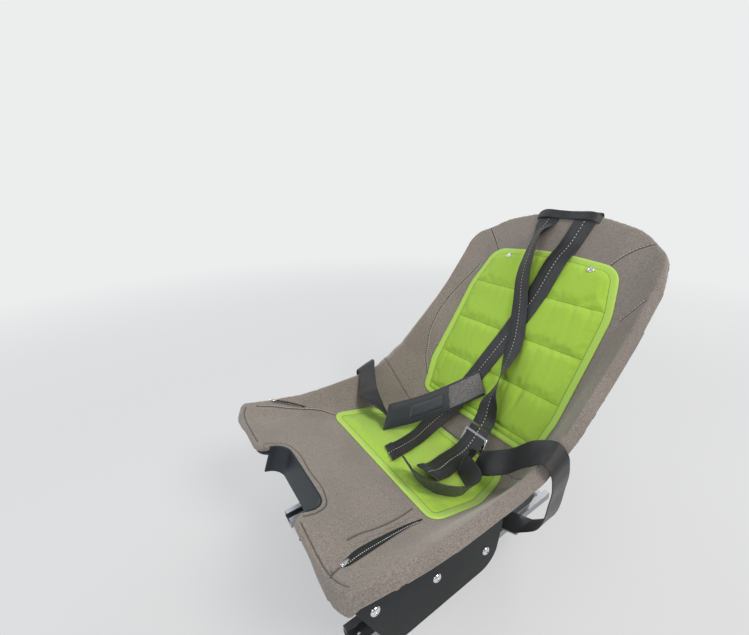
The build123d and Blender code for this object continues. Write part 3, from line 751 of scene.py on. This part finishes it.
def outlinePatch(half, topCorner, columns, rows, borderSteps=1999):  # grid of places inside, and the border
    points, middles = roundedOutline(half)
    topOther = len(middles) - 1 - topCorner
    right = resampled(points[middles[0]:middles[topCorner] + 1], rows)
    top = resampled(points[middles[topCorner]:middles[topOther] + 1], columns)[::-1]
    left = resampled(points[middles[topOther]:middles[-1] + 1], rows)[::-1]
    bottom = resampled(points[middles[-1]:] + points[:middles[0] + 1], columns)
    places = {}
    for row in range(rows + 1):
        v = row / rows
        for column in range(columns + 1):
            u = column / columns
            low = bottom[0] * (1 - u) * (1 - v) + bottom[-1] * u * (1 - v)
            corners = low + top[0] * (1 - u) * v + top[-1] * u * v
            sides = left[row] * (1 - u) + right[row] * u
            places[column, row] = bottom[column] * (1 - v) + top[column] * v + sides - corners
    border = KDTree(borderSteps + 1)
    for index, point in enumerate(resampled(points + points[:1], borderSteps)):
        border.insert((point.x, point.y, 0), index)
    border.balance()
    return places, border


def inflate(piece, pinned, look):  # cloth held along its seams and blown up, with its movement capped
    rest = [vertex.co.copy() for vertex in piece.data.vertices]
    group = piece.vertex_groups.new(name="pins")
    group.add(pinned, 1.0, "REPLACE")
    cloth = addModifier(piece, "CLOTH")
    for setting, value in look["settings"].items():
        setattr(cloth.settings, setting, value)
    cloth.settings.vertex_group_mass = "pins"
    cloth.settings.effector_weights.gravity = 0
    cloth.point_cache.frame_start = 1
    cloth.point_cache.frame_end = look["frames"]
    for step in range(1, look["frames"] + 1):
        bpy.context.scene.frame_set(step)
    depsgraph = bpy.context.evaluated_depsgraph_get()
    blown = piece.evaluated_get(depsgraph).data
    for vertex, start, moved in zip(piece.data.vertices, rest, blown.vertices):
        change = moved.co - start
        if change.length > look["cap"]:
            change = change.normalized() * look["cap"]
        vertex.co = start + change
    piece.modifiers.clear()
    piece.vertex_groups.clear()
    bpy.context.scene.frame_set(1)


# Zips of the thighs: tape in the slit, pale teeth and a slider
zipLook = {
    "lift": -0.0003,
    "columns": 6,
    "step": 0.003,
    "thick": 0.0009,
    "teethStart": 8,
    "teethBeside": -0.0019,
    "teeth": {"pitch": 0.0040, "length": 0.0024, "radius": 0.0007},
    "slider": (  # size, how far forward and how high
        ((0.0105, 0.0058, 0.0026), -0.002, 0.0016),
        ((0.0130, 0.0040, 0.0012), -0.0050, 0.0034),
    ),
    "ease": 0.0005,
}


def laidStrip(name, table):  # thin strip of changing width that lies on the covers
    flat = smoothLine([Vector(row) / 1000 for row in table], zipLook["step"])
    bm, uvLayer = flatGrid(zipLook["columns"], len(flat) - 1, "webbing")
    for vertex in bm.verts:
        index = round((vertex.co.y + 1) / 2 * (len(flat) - 1))
        before, after = beforeAndAfter(flat, index)
        ahead = (after - before).to_2d().normalized()
        aside = vertex.co.x * flat[index].z
        place = flat[index].to_2d() + Vector((ahead.y, -ahead.x)) * aside
        foot, facing = plainSurface.under(place.y, place.x)
        vertex.co = foot + facing * zipLook["lift"]
        setFlat(vertex, uvLayer, aside, index * zipLook["step"])
    piece = meshPiece(name, bm)
    addModifier(piece, "SOLIDIFY", thickness=zipLook["thick"], offset=0)
    return piece


for zipName, zipTable in zipTables.items():
    finishPiece(laidStrip(zipName + "Tape", zipTable), "zipTape")
    laidLine = seatLine(zipTable, 0.001, plainSurface)
    line = [(place + facing * zipLook["lift"], facing) for place, facing in laidLine]
    teeth = [(line[zipLook["teethStart"]:], zipLook["teethBeside"])]
    stitchPiece(zipName + "Teeth", teeth, zipLook["teeth"], "paleThread")
    endPlace, endFacing = line[-1]
    ahead = (endPlace - line[-6][0]).normalized()
    seat = Matrix.Translation(endPlace) @ turnedTo(ahead, ahead.cross(endFacing).normalized(), endFacing)
    bm = bmesh.new()
    for size, onward, up in zipLook["slider"]:
        block = seat @ Matrix.Translation((onward, 0, up)) @ Matrix.Diagonal((*size, 1))
        bmesh.ops.create_cube(bm, size=1, matrix=block)
    bmesh.ops.bevel(
        bm, geom=bm.edges[:], offset=zipLook["ease"], segments=2, profile=0.5, affect="EDGES", material=-1
    )
    finishPiece(meshPiece(zipName + "Slider", bm), "chrome")
print("zips ready")


# Lime pads of the back and the seat: quilted, bound along the edge
insertLook = {
    "gap": 0.0006,
    "flange": 0.0034,
    "edgeRound": 0.003,
    "full": 0.0068,
    "shoulder": 0.006,
    "least": 0.0004,
    "stitchDeep": 0.0014,
    "stitchWide": 0.0025,
    "heldWithin": 0.0022,
    "crease": 0.0014,
    "pleat": {"across": 40, "skew": 4, "along": 3.5, "seed": 3.1, "thin": 5, "run": 0.060, "deep": 1.6},
    "fold": {"across": 14, "along": 22, "seed": 7.7, "start": 0.02},
    "stitch": {"pitch": 0.0040, "length": 0.0027, "radius": 0.0003},
    "back": {
        "half": (
            (0.166, 0.057, 0.018), (0.181, 0.160, 0.200), (0.181, 0.392, 0.150),
            (0.154, 0.498, 0.048), (0.0, 0.514, 0.700),
        ),
        "topCorner": 3,
        "seams": [along for along, half in quiltSeams],
        "grid": (80, 102),
        "folds": 0.5,
    },
    "seat": {
        "half": ((0.174, -0.262, 0.024), (0.177, -0.150, 0.120), (0.134, -0.004, 0.026)),
        "topCorner": 2,
        "seams": (),
        "grid": (80, 60),
        "folds": 1.6,
    },
    "cloth": {
        "frames": 20,
        "cap": 0.0022,
        "settings": {
            "quality": 6, "mass": 0.2, "tension_stiffness": 12.0, "compression_stiffness": 12.0,
            "bending_stiffness": 0.6, "shrink_min": -0.02, "use_pressure": True,
            "uniform_pressure_force": 4.0,
        },
    },
}


def quiltHeight(place, edge, seam, below, folds):  # height of a lime pad's top over the cover
    inside = max(edge - binding, 0)
    held = min(inside, seam)
    pleat = insertLook["pleat"]
    fold = insertLook["fold"]
    wide = insertLook["stitchWide"]
    puff = (insertLook["full"] - insertLook["flange"]) * (1 - math.exp(-held / insertLook["shoulder"]))
    aside = place.x * pleat["across"] + place.y * pleat["skew"]
    spot = Vector((aside, place.y * pleat["along"], pleat["seed"]))
    thin = 1 - min(abs(noise.noise(spot)) * pleat["thin"], 1)
    ripple = -thin * math.exp(-below / pleat["run"]) * min(held / insertLook["shoulder"], 1)
    spot = Vector((place.x * fold["across"], place.y * fold["along"], fold["seed"]))
    soft = noise.noise(spot) * min(inside / fold["start"], 1)
    stitch = math.exp(-(((edge - binding) / wide) ** 2)) + math.exp(-((seam / wide) ** 2)) * (inside > 0)
    roundEdge = 1 - min(edge / insertLook["edgeRound"], 1.0)
    high = insertLook["flange"] * math.sqrt(max(1 - roundEdge**2, 0)) + puff
    high += insertLook["crease"] * (ripple * pleat["deep"] + soft * folds)
    high -= insertLook["stitchDeep"] * min(stitch, 1)
    return max(high, insertLook["least"])


def quiltedInsert(name, node, look):
    columns, rows = look["grid"]
    places, border = outlinePatch(look["half"], look["topCorner"], columns, rows)
    bm, uvLayer, edgeLayer, pinLayer = flatGrid(columns, rows, "sewn", "edge", "pin")
    low = []
    for vertex in bm.verts:
        place = places[round((vertex.co.x + 1) / 2 * columns), round((vertex.co.y + 1) / 2 * rows)]
        edge = border.find((place.x, place.y, 0))[2]
        seam = min([abs(place.y - line) for line in look["seams"]] or [1.0])
        below = min([line - place.y for line in look["seams"] if line > place.y] or [1.0])
        foot, facing = coverSurface.under(place.y, place.x)
        low.append(foot + facing * insertLook["gap"])
        vertex.co = foot + facing * (insertLook["gap"] + quiltHeight(place, edge, seam, below, look["folds"]))
        vertex[edgeLayer] = edge
        vertex[pinLayer] = edge <= binding or min(edge - binding, seam) < insertLook["heldWithin"]
        setFlat(vertex, uvLayer, place.x, place.y)
    for vertex in closeBelow(bm, low):
        vertex[pinLayer] = 1.0
    bm.verts.index_update()
    pinned = [vertex.index for vertex in bm.verts if vertex[pinLayer] > 0.5]
    piece = meshPiece(name, bm)
    inflate(piece, pinned, insertLook["cloth"])
    addModifier(piece, "SUBSURF", levels=1, render_levels=1)
    applyModifiers(piece)
    finishPiece(piece, "limeCloth", replaced=(node,))
    print("insert", name, len(piece.data.vertices), "vertices")
    return piece


backInsert = quiltedInsert("backInsertQuilt", "back_insert", insertLook["back"])
seatInsert = quiltedInsert("seatInsertQuilt", "seat_insert", insertLook["seat"])
seatSurface = Surface([*coverPieces, backInsert, seatInsert])


def borderLine(half, inset, spacing=0.001):  # closed line inside an outline, laid on the insert
    points, middles = roundedOutline(half)
    points.append(points[0])
    length = sum((end - start).length for start, end in zip(points, points[1:]))
    line = resampled(points, round(length / spacing))
    turned = []
    for index, point in enumerate(line[:-1]):
        ahead = (line[(index + 1) % (len(line) - 1)] - line[index - 1 if index else -2]).normalized()
        turned.append(point + Vector((-ahead.y, ahead.x)) * inset)
    return [seatSurface.under(along, across) for across, along in turned]


insertRows = [(borderLine(insertLook[part]["half"], binding), 0) for part in ("back", "seat")]
for seamAlong, seamHalf in quiltSeams:
    half = round(seamHalf * 1000)
    places = [(across, seamAlong * 1000) for across in range(-half, half + 1, 4)]
    insertRows.append((seatLine(places, 0.001, seatSurface), 0))
stitchPiece("insertStitches", insertRows, insertLook["stitch"], "limeThread")
print("inserts sewn")


# Webbing of the harness: the same stations as the solids, joined by smooth curves
strapLook = {
    "width": 0.049,
    "thick": 0.0018,
    "step": 0.003,
    "columns": 12,
    "cup": 0.0005,
    "ripple": 0.0004,
    "clear": 0.0005,
    "reach": 0.012,
    "hem": 0.026,
    "foldHigh": 0.0021,
    "selvedge": 0.0006,
    "plainShift": 0.05,  # moves the weave's middle line off the plain straps
}
widthWeight = 0.02  # a row's direction is smoothed together with its place, at this length
hemBack = range(0, round(strapLook["hem"] / strapLook["step"]), 2)  # rows under a folded hem, from the end
insertTop = 10.2
rearFace = -20.6
topEdge = seatLines["backLength"] * 1000 + 1.5


def turnedBy(first, second, degrees):
    angle = math.radians(degrees)
    return first * math.cos(angle) + second * math.sin(angle)


def laid(along, across, up, skew=0, fold=0, tilt=0):  # station on the seat, in mm and degrees
    normal = padAt(along / 1000)[1]
    ahead = normal.cross(sideDir)
    normal, ahead = turnedBy(normal, ahead, fold), turnedBy(ahead, -normal, fold)
    widthDir = turnedBy(turnedBy(sideDir, ahead, skew), normal, tilt)
    return onPad(along / 1000, across / 1000, up / 1000), widthDir


def hung(x, y, z, *widthDir):  # station in the air, in mm from the hip line
    return hipPoint + Vector((x, y, z)) / 1000, Vector(widthDir).normalized()


def turnAlong(share):  # distance along the pad of a place in the turn at the hips
    return (2 * share - 1) * turnFoot * 1000


def onEdge(place, across, over, leanFront, leanAcross, lean):  # station that stands on its edge
    outward = (panDir * leanFront + sideDir * leanAcross).normalized()
    widthDir = turnedBy(panUp, outward, lean)
    foot = onPad(-place / 1000, across / 1000, (insertTop + over) / 1000)
    return foot + widthDir * strapLook["width"] / 2, widthDir


def squareTo(ahead, widthDir):  # face of a row: square to its width and to the way ahead
    return (ahead - widthDir * ahead.dot(widthDir)).normalized().cross(widthDir).normalized()


def bandRows(stations, thick, hem=False, step=0.003):  # place, width's direction, face and length of each row
    line = []
    for index, (place, widthDir) in enumerate(stations):
        before, after = beforeAndAfter(stations, index)
        face = squareTo(after[0] - before[0], widthDir)
        line.append(Vector((*(place + face * thick / 2), *(widthDir * widthWeight))))
    end = line[-1].copy()
    line = smoothLine(line, step)
    if hem:
        high = strapLook["foldHigh"]
        ahead = Vector((line[-1] - line[-4])[:3]).normalized()
        over = [line[-1 - back] + Vector((*(face * high), 0, 0, 0)) for back in hemBack]
        line += [end + Vector((*((ahead + face) * high / 2), 0, 0, 0)), *over]
    rows = []
    length = 0
    for index, here in enumerate(line):
        place = Vector(here[:3])
        widthDir = Vector(here[3:]).normalized()
        before, after = beforeAndAfter(line, index)
        if rows:
            length += (place - rows[-1][0]).length
        rows.append((place, widthDir, squareTo(Vector(after[:3]) - Vector(before[:3]), widthDir), length))
    return rows


def clearOf(rows, tree, half, need, reach, hem):  # lifts rows that dip into what they lie on, with soft ends
    lifts = []
    for place, widthDir, face, length in rows:
        lift = Vector((0, 0, 0))
        for share in (-1, -0.6, -0.2, 0.2, 0.6, 1):
            point = place + widthDir * half * share
            nearest, facing, index, distance = tree.find_nearest(point, reach)
            if nearest is not None:
                short = need - (point - nearest).dot(facing)
                if lift.length < short < reach:
                    lift = facing * short
        lifts.append(lift)
    near = [slice(max(index - 4, 0), index + 5) for index in range(len(rows))]
    widest = [max(lifts[part], key=lambda lift: lift.length) for part in near]
    soft = [sum(widest[part], Vector((0, 0, 0))) / len(widest[part]) for part in near]
    if hem:  # a folded end keeps the lift of the rows that it lies on
        last = len(rows) - len(hemBack) - 2
        for index in range(len(hemBack) + 1):
            soft[last + 1 + index] = soft[last - max(index - 1, 0) * 2]
    return [(row[0] + lift, *row[1:]) for row, lift in zip(rows, soft)]


def bandPoints(bm, rows, width):  # each vertex of a grid over the rows, with its row and its distance across
    for vertex in bm.verts:
        yield vertex, rows[round((vertex.co.y + 1) / 2 * (len(rows) - 1))], vertex.co.x / 2 * width


def bandPiece(name, rows, columns, width, shapeAt, besideDots):  # shapeAt is the height over the rows' face
    bm, uvLayer = flatGrid(columns, len(rows) - 1, "webbing")
    for vertex, (place, widthDir, face, length), across in bandPoints(bm, rows, width):
        vertex.co = place + widthDir * across + face * shapeAt(across, length)
        setFlat(vertex, uvLayer, across + besideDots, length)
    piece = meshPiece(name, bm)
    addModifier(piece, "SOLIDIFY", thickness=strapLook["thick"], offset=0)
    return piece


def webStrap(name, node, stations, hem=False, clear=True, plain=False):
    rows = bandRows(stations, strapLook["thick"], hem, strapLook["step"])
    half = strapLook["width"] / 2
    if clear:
        need = strapLook["thick"] / 2 + strapLook["clear"]
        rows = clearOf(rows, seatSurface.tree, half, need, strapLook["reach"], hem)
    seed = len(name) * 3.7

    def shapeAt(across, length):
        wave = noise.noise(Vector((across * 22, length * 24, seed)))
        return strapLook["cup"] * (1 - (across / half) ** 2) + strapLook["ripple"] * wave

    beside = strapLook["plainShift"] * plain
    strap = bandPiece(name, rows, strapLook["columns"], strapLook["width"], shapeAt, beside)
    easeEdges(strap, strapLook["selvedge"], 50)
    print("strap", name, len(rows), "rows")
    return finishPiece(strap, "webbing", replaced=(node,))


def overTop(*acrosses):  # a shoulder strap's stations from its anchor to the front of the top edge
    rows = (
        (427, rearFace, 180), (475, rearFace, 180), (topEdge - 6, rearFace, 165),
        (topEdge + 1, rearFace + 5, 110), (topEdge + 1, -1, 70), (topEdge - 8, 1.9, 12),
    )
    return [laid(along, across, up, 0, fold) for across, (along, up, fold) in zip(acrosses, rows)]


shoulderLeft = (  # along, across, height and skew; for the right one a fold and a tilt too
    (585, 40, 2.2, 2),
    (520, 31, 5, 5),
    (502, 29, insertTop + 1.2, 5),
    (391, 15, insertTop, 8),
    (314, 0, insertTop, 12),
    (217, -24, insertTop, 14),
    (170, -36, insertTop, 14),
    (turnAlong(0.72), -52, insertTop + 6, 14),
    (turnAlong(0.35), -54, insertTop + 12, -10),
    (-110, -34, insertTop + 3, -18),
    (-150, -22, insertTop, -18),
    (-228, 4, insertTop, -18),
)
shoulderRight = (
    (588, -46, 2.4),
    (540, -43, 23, -3, 0, 44),
    (500, -38, insertTop + 17, -8, 0, 36),
    (427, -28, insertTop + 11, -16, 0, 14),
    (355, -3, insertTop + 5, -20),
    (290, 18, insertTop + 5, -18),
    (225, 33, insertTop + 14, -4, 0, 38),
    (190, 38, insertTop + 22, 0, 0, 60),
    (152, 42, insertTop + 27.5, 2, 0, 44),
    (108, 46, insertTop + 29.5, 2, 0, 10),
    (72, 50, insertTop + 27, 2),
    (48, 50, insertTop + 27.9),
)
strapTail = (
    (42, 50, insertTop + 27.9),
    (22, 51, insertTop + 27),
    (turnAlong(0.42), 56, insertTop + 22, 4),
    (-110, 66, insertTop + 8, 12),
    (-150, 76, insertTop + 6, 14),
    (-206, 90, insertTop + 15, 14),
)
lapLeft = (  # x, y and z from the hip line, and the width's direction
    (201.1, -24, -45, 0, 1, 0),
    (236, -26, 0, 0, 1, 0),
    (251, -32, 80, 0, 0.97, 0.25),
    (255, -42, 134, 0, 0.92, 0.4),
    (251, -46, 158, 0, 0.9, 0.42),
    (238, -48, 171, 0, 0.9, 0.45),
    (205, -51, 152, -0.15, 0.6, 0.8),
    (165, -58, 108, -0.2, 0.5, 0.84),
    (128, -72, 84, -0.3, 0.7, 0.65),
    (100, -64, 66, -0.2, 0.9, 0.4),
)
lapRight = (
    (-200.6, -60, -45.7, 0, 1, 0),
    (-236, -74, 0, 0, 1, 0),
    (-251, -96, 80, 0, 0.98, 0.2),
    (-254, -106, 120, 0, 0.95, 0.3),
    (-249, -110, 141, 0, 0.93, 0.35),
    (-236, -112, 150, 0.1, 0.93, 0.35),
    (-208, -127, 134, 0.1, 0.9, 0.42),
    (-180, -142, 106, 0.3, 0.9, 0.2),
    (-142, -150, 98, 0.5, 0.8, -0.3),
    (-96, -154, 98, 0.4, 0.5, -0.75),
)
loop = (  # to the front, across, over the lime pad, lean to the front and across, and its angle
    (98.7, 103.2, 14.3, -0.96, -0.27, 48.0),
    (101.0, 92.0, 8.0, -1.0, 0.0, 22.0),
    (109.0, 95.0, 4.0, 0.0, 1.0, 4.0),
    (118.0, 113.0, 2.0, -0.2, 1.0, 12.0),
    (133.0, 134.0, 1.2, -0.1, 1.0, 20.0),
    (160.0, 144.0, 1.2, 0.15, 1.0, 28.0),
    (196.0, 138.0, 0.8, 0.6, 0.8, 36.0),
    (220.0, 114.0, 0.8, 0.95, 0.3, 42.0),
    (224.0, 90.0, 0.8, 1.0, 0.0, 44.0),
    (218.0, 66.0, 0.8, 1.0, -0.2, 44.0),
)
leftStations = overTop(30, 30, 41, 42, 43, 42) + [laid(*row) for row in shoulderLeft]
rightStations = overTop(-30, -30, -44, -45, -46, -46) + [laid(*row) for row in shoulderRight]
webStrap("shoulderWebLeft", "shoulder_strap_left", leftStations, hem=True)
webStrap("shoulderWebRight", "shoulder_strap_right", rightStations)
webStrap("tailWeb", "strap_tail", [laid(*row) for row in strapTail], hem=True)
webStrap("lapWebLeft", "lap_strap_left", [hung(*row) for row in lapLeft], plain=True)
webStrap("lapWebRight", "lap_strap_right", [hung(*row) for row in lapRight], plain=True)
webStrap("loopWeb", "loop_strap", [onEdge(*row) for row in loop], hem=True, clear=False, plain=True)


# Belt pad: smooth on its first part, plush on the rest, with a raised patch sewn on
padLook = {
    "width": 0.060,
    "thick": 0.007,
    "columns": 26,
    "step": 0.0028,
    "rim": 0.0034,
    "rimDown": 0.0008,
    "hem": 0.0052,
    "hemDeep": 0.0007,
    "hemWide": 0.0016,
    "crown": 0.0008,
    "crownRun": 0.012,
    "stitch": {"pitch": 0.0040, "length": 0.0028, "radius": 0.00035},
}
patchLook = {
    "width": 0.031,
    "columns": 16,
    "sunk": 0.0010,
    "high": 0.0028,
    "under": 0.0016,
    "rim": 0.0016,
    "hem": 0.0035,
    "hemDeep": 0.0006,
    "hemWide": 0.0011,
}
padStations = [hung(*row) for row in (
    (-84, -156, 96, 0.3, -0.5, -0.81),
    (-60, -80, 102, 0.35, -0.4, -0.85),
    (-33, -4, 122, 0.5, -0.36, -0.79),
    (-5, 66, 150, 0.7, -0.36, -0.62),
)]


def closedBand(name, rows, columns, width, highAt, lowAt):  # closed cushion between two heights
    bm, uvLayer = flatGrid(columns, len(rows) - 1, "webbing")
    total = rows[-1][3]
    low = []
    for vertex, (place, widthDir, face, length), across in bandPoints(bm, rows, width):
        edge = min(width / 2 - abs(across), length, total - length)
        low.append(place + widthDir * across + face * lowAt(edge))
        vertex.co = place + widthDir * across + face * highAt(edge)
        setFlat(vertex, uvLayer, across, length)
    closeBelow(bm, low)
    piece = meshPiece(name, bm)
    addModifier(piece, "SUBSURF", levels=1, render_levels=1)
    return piece


def roundShare(edge, radius):  # share of the full height near a rounded edge
    return math.sqrt(max(1 - (1 - min(edge / radius, 1)) ** 2, 0))


def hemDip(edge, look):  # how far a row of stitches inside the edge draws the surface in
    return look["hemDeep"] * math.exp(-(((edge - look["hem"]) / look["hemWide"]) ** 2))


def padTop(edge):
    crown = padLook["crown"] * min(max(edge - padLook["hem"], 0) / padLook["crownRun"], 1)
    swell = (padHalf - padLook["rimDown"]) * roundShare(edge, padLook["rim"])
    return -padHalf + swell + crown - hemDip(edge, padLook)


def padBottom(edge):
    return -padHalf - padHalf * roundShare(edge, padLook["rim"])


def patchTop(edge):
    swell = patchLook["high"] * roundShare(edge, patchLook["rim"])
    return swell - patchLook["sunk"] - hemDip(edge, patchLook)


def patchBottom(edge):
    return -patchLook["under"]


padHalf = padLook["thick"] / 2
padRows = bandRows(padStations, 0, step=padLook["step"])
padRows = [(place, widthDir, face * -1, length) for place, widthDir, face, length in padRows]
beltPad = closedBand("beltPad", padRows, padLook["columns"], padLook["width"], padTop, padBottom)
finishPiece(beltPad, "padCloth", replaced=("lap_pad",))

firstGap, secondGap = ((padStations[index + 1][0] - padStations[index][0]).length for index in (0, 1))
patchStart, patchEnd = 0.7 * firstGap, firstGap + 0.8 * secondGap
patchRows = [row for row in padRows if patchStart <= row[3] <= patchEnd]
patchRows = [(*row[:3], row[3] - patchRows[0][3]) for row in patchRows]
patchColumns, patchWidth = patchLook["columns"], patchLook["width"]
beltPatch = closedBand("beltPatch", patchRows, patchColumns, patchWidth, patchTop, patchBottom)
finishPiece(beltPatch, "padNylon")


def hemLines(rows, look, up):  # lines of stitches along both sides of a band, inside its edges
    inset = look["width"] / 2 - look["hem"]
    return [
        ([(place + widthDir * aside + face * up, face) for place, widthDir, face, length in rows], 0)
        for aside in (inset, -inset)
    ]


padSeams = hemLines(padRows[2:-2], padLook, -0.0012) + hemLines(patchRows[1:-1], patchLook, 0.0012)
stitchPiece("padStitches", padSeams, padLook["stitch"], "darkThread")
print("belt pad ready")


# Keeper band over both shoulder straps at the top edge: its stations are across, height and bow, in mm
keeperLook = {
    "width": 0.020,
    "columns": 8,
    "ripple": 0.0004,
    "besideDots": 0.03,
    "stations": (
        (-78, -0.9, -5.0), (-74, 1.4, -3.6), (-69, 4.4, -1.8), (-20, 4.9, 0.4), (0, 3.4, 0.6), (20, 4.9, 0.4),
        (63, 4.4, -1.8), (68, 1.4, -3.6), (72, -0.9, -5.0),
    ),
}


def keeperShape(across, length):
    return keeperLook["ripple"] * noise.noise(Vector((across * 60, length * 40, 2.0)))


keeperStations = [laid(topEdge - 10 + bow, across, up, 90) for across, up, bow in keeperLook["stations"]]
keeper = bandPiece(
    "keeperBand", bandRows(keeperStations, strapLook["thick"]), keeperLook["columns"], keeperLook["width"],
    keeperShape, keeperLook["besideDots"],
)
finishPiece(keeper, "webbing", replaced=("strap_keeper",))


# Hard pieces, as smooth copies of the solids with eased edges
hardPieces = (  # name, nodes (with both sides after an underscore), material, slot and the eased edge's width
    ("bucketShell", "seat_shell", "shell", "shell", 0.0007),
    ("skirt", "side_skirt_", "skirt", "shell", 0.0008),
    ("ladderAdjuster", "shoulder_adjuster", "chrome", "chrome", 0.0009),
    ("plate", "side_plate_", "blackMetal", "black_metal", 0.0006),
    ("crossTubes", "cross_tube_front cross_tube_rear", "blackMetal", "black_metal", 0.0004),
    ("lever", "lock_lever", "knob", "knob", 0.0008),
    ("anchorPlate", "shoulder_anchor", "steel", "steel", 0.0006),
    ("anchorClamp", "anchor_bar", "steel", "steel", 0.0008),
    ("lapAnchor", "lap_anchor_", "steel", "steel", 0.0005),
    ("shoes", "shoes_", "steel", "steel", 0.0006),
    ("rail", "rail_", "railMetal", "rail_metal", 0.0005),
)


def easedCopy(name, nodeNames, material, slotName, width, body):
    piece = copyOfNode(name, *nodeNames)
    bm = bmesh.new()
    bm.from_mesh(piece.data)
    bmesh.ops.dissolve_limit(bm, angle_limit=math.radians(0.4), verts=bm.verts, edges=bm.edges)
    bm.to_mesh(piece.data)
    bm.free()
    shadeSmooth(piece.data)
    easeEdges(piece, width, 38)
    addModifier(piece, "WEIGHTED_NORMAL", keep_sharp=True)
    return finishPiece(piece, material, body, replaced=nodeNames)


for name, nodeNames, *look in hardPieces:
    body = "rails" if name == "rail" else "seat"
    if nodeNames.endswith("_"):
        for side in ("left", "right"):
            easedCopy(name + side.title(), (nodeNames + side,), *look, body)
    else:
        easedCopy(name, tuple(nodeNames.split()), *look, body)
print("hard pieces ready")


# Small fasteners, turned about their own axes; the profile is radius and height, in mm
fastenerLooks = {
    "pressStuds": {
        "profile": (
            (0.0, 1.0), (2.6, 1.0), (3.1, 1.3), (3.5, 2.3), (4.1, 2.7), (5.2, 2.7), (6.3, 2.1), (7.0, 1.0),
            (7.0, -1.4),
        ),
        "socket": 0,
    },
    "screws": {
        "profile": (
            (0.0, 2.0), (2.4, 2.0), (2.5, 3.9), (2.8, 4.0), (4.4, 3.8), (5.8, 3.2), (6.9, 2.3), (7.7, 1.1),
            (8.0, 0.3), (8.0, 0.0),
        ),
        "socket": 2.6,
    },
    "steps": 30,
    "sharp": math.radians(50),
}
studPlaces = ((0.482, 0.102), (0.482, -0.102))  # along and across
screwPlaces = (  # x, and y and z of each screw, in mm
    (153, ((-190, 120), (145, 74))),
    (209, ((-263, 180), (-150, 148), (-35, 118))),
)


def turnedPiece(name, look, seats):  # one profile spun round at each seat: a foot and the way it faces
    bm = bmesh.new()
    sixth = math.pi / 3
    turn = {"cent": (0, 0, 0), "axis": (0, 0, 1), "angle": 2 * math.pi, "steps": fastenerLooks["steps"]}
    for foot, facing in seats:
        ring = [bm.verts.new((radius / 1000, 0, high / 1000)) for radius, high in look["profile"]]
        edges = [bm.edges.new((start, end)) for start, end in zip(ring, ring[1:])]
        bmesh.ops.spin(bm, geom=ring + edges, use_merge=True, **turn)
        newVerts = [vertex for vertex in bm.verts if not vertex.tag]
        for vertex in newVerts:
            vertex.tag = True
            if 0 < vertex.co.xy.length * 1000 < look["socket"]:  # six flats in the socket
                offFlat = math.atan2(vertex.co.y, vertex.co.x) % sixth - sixth / 2
                vertex.co.xy *= math.cos(sixth / 2) / math.cos(offFlat)
        seat = Matrix.Translation(foot) @ facing.to_track_quat("Z", "Y").to_matrix().to_4x4()
        bmesh.ops.transform(bm, matrix=seat, verts=newVerts)
    bmesh.ops.remove_doubles(bm, verts=bm.verts, dist=0.00001)
    bmesh.ops.holes_fill(bm, edges=[edge for edge in bm.edges if edge.is_boundary])
    bmesh.ops.recalc_face_normals(bm, faces=bm.faces)
    piece = meshPiece(name, bm)
    piece.data.set_sharp_from_angle(angle=fastenerLooks["sharp"])
    return piece


studSeats = [seatSurface.under(*place) for place in studPlaces]
studs = turnedPiece("pressStuds", fastenerLooks["pressStuds"], studSeats)
finishPiece(studs, "studMetal", replaced=("back_snaps",))
for side, sideName in ((1, "left"), (-1, "right")):
    outward = Vector((side, 0, 0))
    seats = [(Vector((side * x, y, z)) / 1000, outward) for x, places in screwPlaces for y, z in places]
    screwPiece = turnedPiece("screwHeads" + sideName.title(), fastenerLooks["screws"], seats)
    finishPiece(screwPiece, "chrome", replaced=("screws_" + sideName,))
print("fasteners ready")
